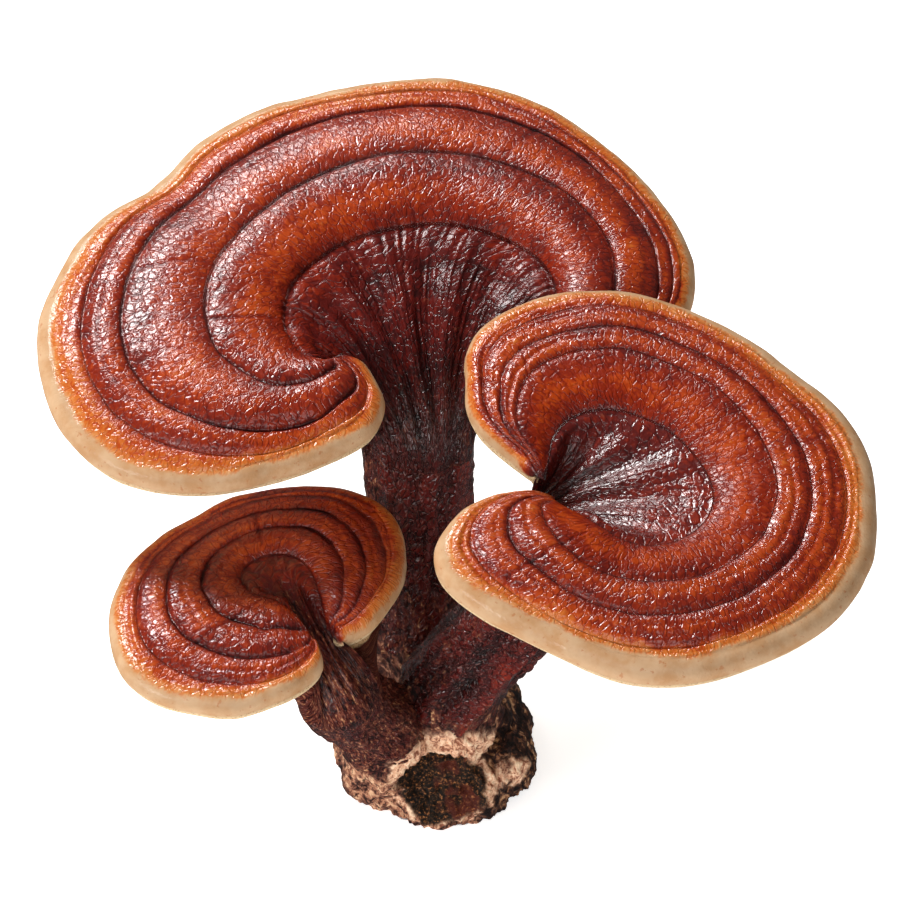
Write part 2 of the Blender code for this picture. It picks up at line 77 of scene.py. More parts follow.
# Cap outlines, as in the part. A station is (core x, y, height, margin x, y, height) in the cap's own tilted
# frame, clockwise from above, from one side of the notch round to the other.
BACK_STATIONS = (
    (-25, -17, -2, -22, -15, -2), (-27, -18, -1.5, -16, -18, -0.5), (-28.5, -18.3, -1, -12, -26, 0),
    (-29.5, -18.2, -0.5, -11.5, -33, 0), (-30.5, -18, 0, -15, -40, 0), (-31.5, -17.5, 0, -24, -45.5, -1),
    (-32.5, -16.5, 0, -38, -51, -2), (-33.5, -15, 0, -57, -55, -2), (-35, -12, 0, -77, -50.5, -2),
    (-36, -9, 0, -90, -39, -1), (-36.5, -5, 0, -97, -23, 0), (-36, 0, 0, -99, -6, 0),
    (-34.5, 5, 0, -94.5, 11, 1), (-31.5, 9.5, 0, -85.5, 27, 1), (-28, 13, 0, -72.5, 38, 0),
    (-23, 17, 0, -61, 53.5, 0), (-16, 20.5, 0, -42, 66.5, 0), (-7, 23, 0, -18, 73, 1),
    (2, 24, 0, 5, 75.5, 0), (11, 22.5, 0, 24, 69.5, 0), (20, 18.5, 0, 42, 57, 0),
    (27, 13, 0, 57, 39, 0), (31, 6, 0, 66, 22, -1), (31.5, 0, 0, 67.5, 7, -2),
    (30.5, -4, 0, 63, -5, -3), (28.5, -7.5, -0.5, 54, -13, -4), (26, -10, -1, 43, -17.5, -4),
    (23.5, -12, -1.5, 33, -18, -3), (21, -13, -2, 25, -16.5, -3), (19, -13, -3, 20.5, -14.5, -3.5),
)
RIGHT_STATIONS = (
    (-13, 3, -5, -15.5, 4.5, -4.5), (-12.5, 6, -4, -19, 7.5, -3), (-12, 8.5, -3.5, -24, 12, -1.5),
    (-11.5, 11, -3, -29, 17, -0.5), (-11, 13.5, -2.5, -32, 24, 0), (-9.5, 16, -2, -32.2, 32, 0),
    (-8, 18, -2, -32.3, 39.5, 0), (-5.5, 20, -2, -28.5, 48, 0), (-2, 21.5, -2, -19, 55, 0),
    (2, 22, -2, -6, 59, 0.5), (6, 21.5, -2, 8, 58.5, 0.5), (11, 19.5, -2, 22, 54.5, 0),
    (16, 16.5, -2, 36, 46, 0), (20, 12.5, -2, 49, 34, 0), (23.5, 7.5, -2, 59, 23, 0),
    (26, 2, -2, 65.5, 9, 0), (27, -4, -2, 66.5, -6, 0), (25, -10, -2, 64, -22, -1),
    (21, -14.5, -1.5, 55, -36.5, -1), (16, -17.5, -1, 40, -47, -1), (10.5, -18.5, 0, 22, -53.7, -1),
    (6, -17.8, 0.5, 4, -53.2, -1), (3, -16.5, 1, -12, -46.3, 0), (1, -15, 1.5, -26, -38.7, 1),
    (-1, -13.5, 1.5, -36, -31, 2), (-2.5, -12, 1, -40, -22, 2), (-4, -10.5, 0.5, -37, -13, 3),
    (-5.5, -9.5, -0.5, -30, -7, 3), (-7, -8.5, -1.5, -21.5, -3.5, 2.5), (-8.5, -7.5, -3, -14, -3.5, 0),
    (-10, -6.5, -5, -11.5, -5, -4),
)
LEFT_STATIONS = (
    (9.5, -17, -4, 10.3, -19, -3.5), (8, -15, -2.5, 12, -22.5, -1), (6.5, -13, -1.5, 12, -27.5, 0),
    (5, -11.3, -1, 8.5, -32, 0), (3.5, -10, -0.5, 2, -36.5, 0), (2, -9, 0, -8, -39.7, -1),
    (0.5, -8, 0, -18, -39, -1), (-1.5, -7.2, 0, -28.5, -35.7, -1), (-4, -6.2, 0, -36.5, -29, 0),
    (-6.3, -4.5, 0, -40.5, -18, 0), (-7.8, -2.2, 0, -40.8, -6, 0), (-8, 0.5, 0, -36, 6.5, 0),
    (-6.8, 2.8, 0, -27.5, 16, 0), (-5, 4.5, 0, -17, 24, 0), (-2.5, 5.8, 0, -5, 29.2, 0),
    (0.5, 6.2, 0, 7, 31, 0), (3.5, 5.8, 0, 19, 29, 0), (6.3, 4.2, 0, 28.5, 22.5, -0.5),
    (8.5, 1.8, -0.5, 32.5, 12, -1), (10, -1.5, -1, 32.3, 2, -1), (11, -5, -1.5, 29, -6, -1),
    (12, -8.5, -2.5, 24.5, -13.5, -1), (12.8, -11.5, -3.5, 19, -17.5, -2), (13.2, -14.3, -4, 15.5, -17.5, -4),
)

# Caps. Tilt, margin, fan ridges and the values of "grooves" are as in the part. The rolls are lower than the
# part's, and so is the right cap's hump.
# The top has four zones, each with its own roll, that start at the core's edge and at the three grooves.
# A fine ring is (zone, depth, width): zone 1.5 lies midway between the first and second groove.
# An edge ring is (distance from the margin, depth, width). The core ring is (share of the fan, depth).
# "groove_marks" says how dark each groove is painted as shade, from the core's edge outwards, and
# "groove_half" how wide.
# "fan_gloss" scales the fan's shine, and "calm_roll" takes shine off the first roll. "bright_fan" is where,
# round the cap, a brighter side of the fan fades out; one below 0 leaves the fan dark all round.
# "pores_from" is the share of the way out along the underside where the pores start.
# "cream" is the width of the pale rim and "amber" of the band inside it, in mm, at even steps round the cap.
# A crack is (where round the cap, from zone, to zone, depth, lean).
CAPS = {
    "back": {
        "stations": BACK_STATIONS, "origin": (-2.6, 30, 130.3), "tilt": 15, "front_arc": (205, 345),
        "columns": 600, "zone_rows": (30, 30, 18, 18), "seed": 11,
        "thick_margin": 8.6, "hump": 3.6, "fan_ridge": 1.0, "fan_ridges": 11, "rolls": (1.4, 1.4, 1.2, 1.0),
        "grooves": ((0.34, 0.32, 0.44, 0.42), (0.64, 0.66, 0.76, 0.70), (0.82, 0.82, 0.90, 0.86)),
        "groove_depths": (0.4, 0.45, 0.45, 0.25), "groove_marks": (0.6, 1.0, 1.0, 0.2), "groove_half": 0.75,
        "fine_rings": ((0.5, 0.08, 1.6), (1.5, 0.12, 1.3), (1.8, 0.16, 1.1), (2.5, 0.28, 1.1)),
        "edge_rings": ((9.0, 0.16, 0.9), (11.6, 0.22, 0.9), (17.0, 0.2, 1.0)),
        "core_ring": (0.8, 0.45), "fan_lines": 0.9, "fan_gloss": 0.45, "calm_roll": 0.1,
        "bright_fan": (-0.2, -0.1), "pores_from": 0.38,
        "cream": (3, 4, 5.5, 6.4, 6.6, 6.6, 6.6, 5.4, 4.6, 4.2, 3.6, 3),
        "amber": (2.5, 4.5, 5.5, 6.5, 7.5, 7, 6.5, 4.5, 3.5, 3.5, 3.5, 2.5),
        "cracks": ((0.335, 0.1, 1.0, 0.4, 0.02), (0.42, 1.0, 2.0, 0.3, -0.01), (0.66, 1.1, 3.0, 0.2, 0.01)),
    },
    "right": {
        "stations": RIGHT_STATIONS, "origin": (38.6, -35, 125.9), "tilt": 15, "front_arc": (110, 200),
        "columns": 570, "zone_rows": (34, 22, 22, 20), "seed": 23,
        "thick_margin": 8.6, "hump": 2.5, "fan_ridge": 0.7, "fan_ridges": 9, "rolls": (0.2, 0.7, 0.7, 0.7),
        "grooves": ((0.40, 0.44, 0.34, 0.31), (0.60, 0.62, 0.58, 0.56), (0.80, 0.81, 0.80, 0.79)),
        "groove_depths": (0.2, 0.3, 0.4, 0.3), "groove_marks": (0.5, 0.7, 0.9, 0.3), "groove_half": 1.1,
        "fine_rings": ((0.62, 0.1, 1.1), (1.5, 0.45, 0.9), (2.35, 0.3, 0.8), (2.7, 0.25, 0.8),
                       (3.45, 0.35, 0.8)),
        "edge_rings": ((9.6, 0.2, 0.9), (12.6, 0.28, 0.9)),
        "core_ring": (0.84, 0.2), "fan_lines": 0.24, "fan_gloss": 1.0, "calm_roll": 0.7,
        "bright_fan": (-0.2, -0.1), "pores_from": 0.38,
        "cream": (2.4, 2.8, 3.2, 4.6, 5.8, 6.4, 6.8, 7.6, 7.8, 6.4, 4.6, 3),
        "amber": (2.5, 2.5, 2.8, 3.2, 3.6, 4, 4, 4, 4.5, 4.5, 4.5, 2.5),
        "cracks": ((0.22, 1.0, 2.4, 0.2, 0.02), (0.78, 0.3, 3.0, 0.3, 0.0)),
    },
    "left": {
        "stations": LEFT_STATIONS, "origin": (-41.3, -23, 84.5), "tilt": 10, "front_arc": (250, 350),
        "columns": 480, "zone_rows": (22, 22, 20, 20), "seed": 37,
        "thick_margin": 7.6, "hump": 2.2, "fan_ridge": 0.4, "fan_ridges": 6, "rolls": (0.8, 0.8, 0.7, 0.7),
        "grooves": ((0.30, 0.30, 0.32, 0.34), (0.56, 0.58, 0.56, 0.58), (0.80, 0.80, 0.78, 0.80)),
        "groove_depths": (0.25, 0.4, 0.4, 0.25), "groove_marks": (0.6, 1.0, 1.0, 0.3), "groove_half": 0.8,
        "fine_rings": ((0.55, 0.2, 0.8), (1.5, 0.28, 0.8), (2.5, 0.28, 0.8)),
        "edge_rings": ((7.6, 0.16, 0.8), (9.8, 0.22, 0.8)),
        "core_ring": (0.8, 0.3), "fan_lines": 0.5, "fan_gloss": 1.0, "calm_roll": 0.0,
        "bright_fan": (0.3, 0.45), "pores_from": 0.62,
        "cream": (3, 4, 5, 5, 4.2, 3.4, 2.6, 2.2, 2.2, 2.4, 3, 3),
        "amber": (2.5, 3, 3.5, 4, 4, 3.6, 3, 3.5, 4.5, 4.5, 3.5, 2.5),
        "cracks": ((0.3, 0.2, 2.5, 0.15, 0.01), (0.6, 0.5, 2.0, 0.15, 0.0)),
    },
}
ZONES = 4

# How a cap is lofted: the shape values are the part's own, the row counts are finer
FAN_ROWS = 34
FAN_SHARE = 14 / 46
ROLL_ROUNDNESS = 2.4
FAN_OPENING = 0.12
FAN_LEAVE = 0.9
FAN_ARRIVE = 0.75
FAN_LIFT = 0.10
RIM_ANGLES = (10, 20, 30, 40, 50, 60, 70, 80, 90)
SEAM_BLEND = 0.10
SEAM_CORE = 0.86
THICKNESS_RAMP = 0.08
UNDER_FLARE = 2.2
UNDER_SPREAD = 1.35
UNDER_STRIDE = 3
NECK_LAP = 0.4

# Relief on the caps, in mm, and the shares and widths that shape it
FULL_RELIEF_REACH = 30
RING_WANDER = 0.9
RELIEF_CALM = 0.012
RADIAL_RELIEF = 0.11
RIPPLE_RELIEF = 0.10
UNEVEN_RELIEF = 0.35
RIM_WAVES = 0.35
UNDER_WAVES = 0.25
FAN_GRAIN_AT = 0.65
GRAIN_SHIFT = 41.0
DENT_WIDTH = 0.2
DENT_CALM = 1.5
# GROOVE_SHADE is the width in mm over which the painted shade of a groove fades out
GROOVE_SHADE = 1.8
ROLL_FULL_WIDTH = 9.0
CORE_RING_WIDTH = 0.07
CRACK_HALF = 0.9

# Root, as in the part but for the last lump, which is extra and lies below the left stem: rounded lumps that
# merge, and the stubs that carry the stems down into them.
ROOT_LUMPS = (
    ((2, 1, 7), (22, 25, 18)),
    ((16.5, -13, 9), (8.5, 10, 9)),
    ((9.5, -5, 17), (9, 9, 9)),
    ((1, -17, 5), (17, 12.5, 16)),
    ((-9, 14, 14), (15, 14, 17)),
    ((7, 14, 10), (12.5, 13, 13)),
    ((-17.5, -15, 15.5), (10, 11, 15.5)),
)
ROOT_HEARTS = {
    "back": ((0, 11, 6), 16.0),
    "right": ((1, -8, 14), 14.0),
    "left": ((-12, -10, 4), 12.5),
}
ROOT_STUB_STEPS = 18
ROOT_VOXEL = 0.55
ROOT_LUMPINESS = 1.6
ROOT_LUMP_SIZE = 8.0
ROOT_LUMP_HEIGHT = 12.0
ROOT_SLIMMER = 0.3
COLLAR_RISE = 8.0
FOOT_CALM = 15.0

# Relief of the root in mm, its burnt hollow, the pale rim round that, and one bare patch at the right
LUMP_RELIEF = 0.9
KNOB_RELIEF = 0.6
GRIT_RELIEF = 0.34
CHAR_CENTRE = (0.2, -26.8, 13.2)
CHAR_WAY = (0.0, -0.96, 0.27)
CHAR_RADIUS = 12.2
CHAR_DEPTH = 2.6
PALE_RIM_AT = 70
PALE_RIM_WIDTH = 8.0
BARE_PATCH = (19.5, -21, 14)

# Softboxes: name, direction, distance, width and height in m, power in W, and whether it lights more than
# reflections
SOFTBOXES = (
    ("key_softbox", (-0.43, 0.40, 0.80), 1.1, 0.36, 0.32, 15.0, True),
    ("front_fill", (-0.1, -1.0, 0.55), 2.2, 1.6, 1.2, 16.0, True),
    ("left_softbox", (-0.68, -0.68, 0.18), 1.0, 0.4, 0.25, 4.0, True),
    ("back_sheen", (-0.28, 0.68, 0.68), 1.0, 0.45, 0.22, 4.5, False),
)
WORLD_LIGHT = 0.12
FLOOR_SIZE = 6.0
FLOOR_GLOW = 0.68

# Repeatable hash behind the noise
HASH_FACTORS = (374761393, 668265263, 1440662683)
HASH_SEED_FACTOR = 974634777
HASH_MIXERS = ((13, 1274126177), (15, 461845907))
HASH_LAST_SHIFT = 16
HASH_MASK = 0xFFFFFFFF


def unit(vectors):
    """The vectors at length one."""
    vectors = np.asarray(vectors, float)
    return vectors / np.maximum(np.linalg.norm(vectors, axis=-1, keepdims=True), 1e-9)


def smoothstep(low, high, value):
    """0 below low, 1 above high and a smooth slope between."""
    t = np.clip((np.asarray(value, float) - low) / (high - low), 0, 1)
    return t * t * (3 - 2 * t)


def smooth_through(points, at):
    """A Catmull-Rom curve through the points, read at parameters from 0 to 1."""
    points = np.asarray(points, float)
    ends = np.vstack([2 * points[0] - points[1], points, 2 * points[-1] - points[-2]])
    place = np.clip(np.asarray(at, float), 0, 1) * (len(points) - 1)
    index = np.minimum(place.astype(int), len(points) - 2)
    t = (place - index)[:, None]
    p0, p1, p2, p3 = (ends[index + step] for step in range(4))
    return 0.5 * (2 * p1 + (p2 - p0) * t + (2 * p0 - 5 * p1 + 4 * p2 - p3) * t ** 2
                  + (3 * p1 - p0 - 3 * p2 + p3) * t ** 3)


def values_round(values, phi):
    """Plain values spread evenly round the cap, joined by a smooth curve."""
    return smooth_through([[value] for value in values], phi)[:, 0]


def hermite(start, end, start_pull, end_pull, t):
    """A curve from start to end that leaves and arrives along the two pulls."""
    return ((2 * t ** 3 - 3 * t ** 2 + 1) * start + (t ** 3 - 2 * t ** 2 + t) * start_pull
            + (3 * t ** 2 - 2 * t ** 3) * end + (t ** 3 - t ** 2) * end_pull)


def hashed(cell, seed):
    """A repeatable value from 0 to 1 for each whole-number cell."""
    mixed = sum(cell[..., axis] * factor for axis, factor in enumerate(HASH_FACTORS))
    mixed = (mixed + seed * HASH_SEED_FACTOR) & HASH_MASK
    for shift, factor in HASH_MIXERS:
        mixed = ((mixed ^ (mixed >> shift)) * factor) & HASH_MASK
    return (mixed ^ (mixed >> HASH_LAST_SHIFT)) / HASH_MASK


def value_noise(points, seed=0):
    """Smooth noise from -1 to 1 with features about one unit across."""
    cell = np.floor(points).astype(np.int64)
    part = points - cell
    part = part ** 3 * (part * (part * 6 - 15) + 10)
    total = np.zeros(points.shape[:-1])
    for corner in np.ndindex(2, 2, 2):
        weight = np.prod(np.where(np.array(corner) == 1, part, 1 - part), axis=-1)
        total += weight * hashed(cell + np.array(corner), seed)
    return total * 2 - 1


def layered_noise(points, layers, seed=0):
    """Noise with finer layers at half the strength each."""
    return sum(value_noise(points * 2.03 ** k + 17.3 * k, seed + k) / 2 ** k for k in range(layers))


def ridges(values):
    """Noise folded over, so that its zero lines become sharp crests at 1."""
    return 1 - 2 * np.abs(values)


def stack(*parts):
    """Arrays side by side as the coordinates of points."""
    return np.stack(np.broadcast_arrays(*parts), axis=-1)


def around(angle, radius, along):
    """Noise coordinates that close up round a tube: the same at an angle and a full turn on."""
    return stack(np.cos(angle) * radius, np.sin(angle) * radius, along)


def round_noise(phi, scale, level, seed):
    """Slow noise round a cap, one value for each column."""
    return value_noise(stack(phi * scale, level, 0.5), seed)


def ring_basis(way):
    """Two directions square to the stem's way: the first near +X, the second near +Y."""
    way = unit(way)
    second = unit(np.cross(way, (1.0, 0.0, 0.0)))
    return np.cross(second, way), second


def neck_point(stem, angle):
    """A point of the round neck, at an angle measured from +X towards +Y."""
    first, second = ring_basis(stem["neck_way"])
    return (np.array(stem["neck"]) + stem["neck_radius"]
            * (np.cos(angle)[:, None] * first + np.sin(angle)[:, None] * second))


def grid_normals(grid):
    """Unit normals of a grid of points, all on the same side of it."""
    return unit(np.cross(np.gradient(grid, axis=1), np.gradient(grid, axis=0)))


def lengths_along(grid, axis):
    """How far each point lies along its row (axis 1) or its column (axis 0)."""
    steps = np.linalg.norm(np.diff(grid, axis=axis), axis=2)
    return np.cumsum(np.insert(steps, 0, 0.0, axis=axis), axis=axis)


def fold_relief(stem, angle, along):
    """Long folds and cords that run up a stem and on over its cap's neck, in mm."""
    seed = stem["seed"]
    broad = value_noise(around(angle + 0.004 * along, 2.1, along / 45), seed)
    cords = ridges(value_noise(around(angle - 0.008 * along, 3.6, along / 26), seed + 1))
    fine = ridges(value_noise(around(angle, 8.0, along / 11), seed + 2))
    return stem["relief"] * (0.8 * broad + 0.75 * cords + 0.3 * fine - 0.5)


class CapLoft:
    """Grids of points from the neck to the margin: a front one over the fan and the top, a back one below.

    They share their two seam columns, one on each side of the notch, and their last row, the margin itself.
    """

    def __init__(self, cap, stem):
        self.cap, self.stem = cap, stem
        self.phi = np.linspace(0, 1, cap["columns"] + 1)
        tilt = math.radians(cap["tilt"])
        self.axes = np.array([(1, 0, 0), (0, math.cos(tilt), math.sin(tilt)),
                              (0, -math.sin(tilt), math.cos(tilt))])
        line = smooth_through(cap["stations"], self.phi)
        self.core, self.margin = line[:, :3], line[:, 3:]
        across = (self.margin - self.core)[:, :2]
        self.reach = np.linalg.norm(across, axis=1)
        self.outward = unit(across)
        self.from_seam = np.minimum(self.phi, 1 - self.phi)
        self.ramp = np.sqrt(1 - (1 - np.minimum(self.from_seam / THICKNESS_RAMP, 1)) ** 2)
        self.size = np.minimum(self.reach / FULL_RELIEF_REACH, 1) * self.ramp
        self.thick = cap["thick_margin"] * self.ramp
        self.inset = np.minimum(cap["thick_margin"] / 2, 0.4 * self.reach)
        self.shoulder = self.margin[:, :2] - self.outward * self.inset[:, None]

        start, stop = (math.radians(angle) for angle in cap["front_arc"])
        self.front_angle = start + (stop - start) * self.phi
        self.back_angle = start - (2 * math.pi - stop + start) * self.phi
        self.front_neck = self.to_cap(neck_point(stem, self.front_angle))
        self.back_neck = self.to_cap(neck_point(stem, self.back_angle))
        self.stem_way = self.axes @ unit(stem["neck_way"])
        self.set_rows()
        self.core[[0, -1]] = self.underside(1, 0)[[0, -1]]

    def set_rows(self):
        """The rows of the top, each a place between core and margin for every column.

        The grooves are shares of the way to the outermost edge. They pass a dent in the margin in a flatter
        curve than the margin itself.
        """
        window = np.hanning(int(len(self.phi) * DENT_WIDTH) // 2 * 2 + 1)
        half = len(window) // 2
        steady = np.convolve(np.pad(self.reach, half, mode="edge"), window / window.sum(), mode="valid")
        whole = 1 + (self.reach / (self.reach - self.inset) - 1) * smoothstep(0.02, 0.12, self.from_seam)
        rings = []
        for place, ring in enumerate(self.cap["grooves"]):
            share = values_round(ring, self.phi)
            flatter = 1 + (steady / self.reach - 1) * (1 - share ** 2) * DENT_CALM * smoothstep(
                0.05, 0.15, self.from_seam)
            rings.append(np.minimum(share * whole * flatter, 0.95 - 0.12 * (2 - place)))
        edges = [np.zeros(len(self.phi)), *rings, np.ones(len(self.phi))]
        widths = [np.abs(outer - inner) * (self.reach - self.inset) for inner, outer in zip(edges, edges[1:])]
        self.zone_room = [np.clip(width / ROLL_FULL_WIDTH, 0.2, 1) for width in widths]
        self.zone_at, self.places = [], []
        for zone, count in enumerate(self.cap["zone_rows"]):
            for step in range(1, count + 1):
                zone_at = zone + step / count
                self.zone_at.append(zone_at)
                self.places.append(edges[zone] + (edges[zone + 1] - edges[zone]) * (zone_at - zone))

    def to_cap(self, points):
        return (points - np.array(self.cap["origin"], float)) @ self.axes.T

    def to_world(self, points):
        return points @ self.axes + np.array(self.cap["origin"], float)

    def underside(self, fan_part, top_part):
        """A trumpet from the back of the neck out to the lower edge of the margin."""
        plain = FAN_SHARE * fan_part + (1 - FAN_SHARE) * top_part
        steep = SEAM_CORE * fan_part + (1 - SEAM_CORE) * top_part
        near_seam = np.clip(1 - self.from_seam / SEAM_BLEND, 0, 1) ** 2
        way = (plain + (steep - plain) * near_seam)[:, None]
        flare = np.column_stack([self.shoulder, self.margin[:, 2] - self.thick]) - self.back_neck
        plan = self.back_neck[:, :2] + flare[:, :2] * way ** UNDER_SPREAD
        height = self.back_neck[:, 2:] + flare[:, 2:] * (1 - (1 - way) ** UNDER_FLARE)
        return np.hstack([plan, height])

    def fan(self):
        """From the front of the neck up and over to the edge of the core, with low radial ridges."""
        heart = self.core[:, :2].mean(axis=0)
        span = np.linalg.norm(self.core - self.front_neck, axis=1)[:, None]
        open_out = np.minimum(self.from_seam / FAN_OPENING, 1)
        leave = self.stem_way * span * FAN_LEAVE
        arrive = np.column_stack([unit(self.core[:, :2] - heart), np.full(len(self.phi), FAN_LIFT)])
        arrive = arrive * span * FAN_ARRIVE * open_out[:, None]
        ridge = self.cap["fan_ridge"] * np.sin(2 * math.pi * self.cap["fan_ridges"] * self.phi) * open_out
        hold = np.clip(1 - self.from_seam / SEAM_BLEND, 0, 1)[:, None] ** 2
        seam = np.where(self.phi < 0.5, 0, len(self.phi) - 1)
        rings = []
        for row in range(FAN_ROWS + 1):
            ring = hermite(self.front_neck, self.core, leave, arrive, row / FAN_ROWS)
            ring[:, 2] += ridge * math.sin(math.pi * row / FAN_ROWS)
            rings.append(ring * (1 - hold) + self.underside(row / FAN_ROWS, 0)[seam] * hold)
        return rings

    def top(self):
        """Convex rolls between the growth rings, on a low hump. The rings wander a little in and out."""
        seed = self.cap["seed"]
        open_out = 0.25 + 0.75 * smoothstep(0.02, 0.12, self.from_seam)
        rings = []
        for zone_at, place in zip(self.zone_at, self.places):
            zone = math.ceil(zone_at) - 1
            roll = 1.0 - abs(2.0 * (zone_at % 1.0) - 1.0) ** ROLL_ROUNDNESS
            roll = roll * open_out * self.zone_room[zone]
            drift = round_noise(self.phi, 26, zone_at * 0.8, seed)
            drift = drift + 0.4 * round_noise(self.phi, 75, zone_at * 1.3, seed + 1)
            wander = drift * self.size * RING_WANDER * math.sin(math.pi * zone_at / ZONES)
            moved = place + wander / self.reach
            plan = self.core[:, :2] + (self.shoulder - self.core[:, :2]) * moved[:, None]
            height = self.core[:, 2] + (self.margin[:, 2] - self.core[:, 2]) * moved
            rise = self.cap["hump"] * np.sin(math.pi * np.clip(moved, 0, 1) ** 0.8)
            rise = rise + self.cap["rolls"][zone] * roll
            ring = np.column_stack([plan, height + self.size * rise])
            ring[[0, -1]] = self.underside(1, zone_at / ZONES)[[0, -1]]
            rings.append(ring)
        return rings

    def rim(self, side):
        """The rounded margin, from the upper (1) or the lower (-1) edge out to the middle."""
        rings = []
        for angle in RIM_ANGLES:
            out, turn = math.sin(math.radians(angle)), math.cos(math.radians(angle))
            plan = self.shoulder + self.outward * (self.inset * out)[:, None]
            height = self.margin[:, 2] - self.thick / 2 * (1 - side * turn)
            rings.append(np.column_stack([plan, height]))
        return rings

    def grids(self):
        """The front and back grids in the world's frame, with the same rows."""
        front = self.fan() + self.top() + self.rim(1)
        back = [self.underside(row / FAN_ROWS, 0) for row in range(FAN_ROWS + 1)]
        back += [self.underside(1, zone_at / ZONES) for zone_at in self.zone_at] + self.rim(-1)
        for rows in (front, back):
            rows.insert(0, rows[0] - self.stem_way * NECK_LAP)
        return self.to_world(np.array(front)), self.to_world(np.array(back))


def grain_coordinates(grid, zone_at, seed):
    """Millimetre coordinates round the cap and outwards, for the fine wrinkles of its skin.

    The fan and each zone between two grooves measure the way round on one row of their own, so that wrinkles
    keep their size. The jump from zone to zone is hidden in the groove.
    """
    across = lengths_along(grid, 1)
    zones = np.ceil(zone_at).astype(int)
    band = np.concatenate([np.zeros(FAN_ROWS + 2, int), zones, np.full(len(RIM_ANGLES), zones[-1])])
    measured = [int(FAN_GRAIN_AT * FAN_ROWS)]
    measured += [int(np.median(np.flatnonzero(band == zone))) for zone in range(1, zones[-1] + 1)]
    way_round = across[np.array(measured)[band]] + GRAIN_SHIFT * band[:, None]
    return stack(way_round, lengths_along(grid, 0), float(seed))


def store_attributes(mesh, attributes):
    """Store named values on the points: one number for all, one for each, or three for each."""
    count = len(mesh.vertices)
    for name, values in attributes.items():
        values = np.asarray(values, np.float32)
        if values.size == 3 * count:
            mesh.attributes.new(name, "FLOAT_VECTOR", "POINT").data.foreach_set("vector", values.ravel())
        else:
            filled = np.array(np.broadcast_to(values.ravel(), count))
            mesh.attributes.new(name, "FLOAT", "POINT").data.foreach_set("value", filled)


def mesh_piece(name, mesh, material, attributes):
    """A smooth object from a mesh, with its named values stored on the points."""
    mesh.shade_smooth()
    mesh.materials.append(material)
    store_attributes(mesh, attributes)
    piece = bpy.data.objects.new(name, mesh)
    bpy.context.scene.collection.objects.link(piece)
    return piece


def new_mesh(name, points, faces):
    """A mesh from points in mm."""
    mesh = bpy.data.meshes.new(name)
    mesh.from_pydata((points.reshape(-1, 3) * MM).tolist(), [], faces)
    return mesh


def cap_faces(rows, columns, under_rows):
    """Faces of the front grid, of the coarser underside, and the flat end of the neck.

    under_rows are the front rows that the underside keeps. Where it skips a row or a column, the face beside
    it takes in the points that the front has there.
    """
    def front_at(row, column):
        return row * (columns + 1) + column

    faces = [(front_at(r, c), front_at(r, c + 1), front_at(r + 1, c + 1), front_at(r + 1, c))
             for r in range(rows - 1) for c in range(columns)]
    strips = columns // UNDER_STRIDE
    first_under = rows * (columns + 1)

    def under_at(k, strip):
        if strip in (0, strips):
            return front_at(under_rows[k], strip * UNDER_STRIDE)
        return first_under + k * (strips - 1) + strip - 1

    last = len(under_rows) - 1
    for k in range(last):
        between = range(under_rows[k] + 1, under_rows[k + 1])
        for strip in range(strips):
            left, right = strip * UNDER_STRIDE, (strip + 1) * UNDER_STRIDE
            face = [under_at(k, strip + 1), under_at(k, strip)]
            if strip == 0:
                face += [front_at(row, 0) for row in between]
            if k + 1 == last:
                face += [front_at(rows - 1, column) for column in range(left, right + 1)]
            else:
                face += [under_at(k + 1, strip), under_at(k + 1, strip + 1)]
            if strip == strips - 1:
                face += [front_at(row, columns) for row in reversed(between)]
            faces.append(tuple(face))
    neck = [front_at(0, column) for column in range(columns, -1, -1)]
    neck += [under_at(0, strip) for strip in range(1, strips)]
    faces.append(tuple(neck))
    return faces


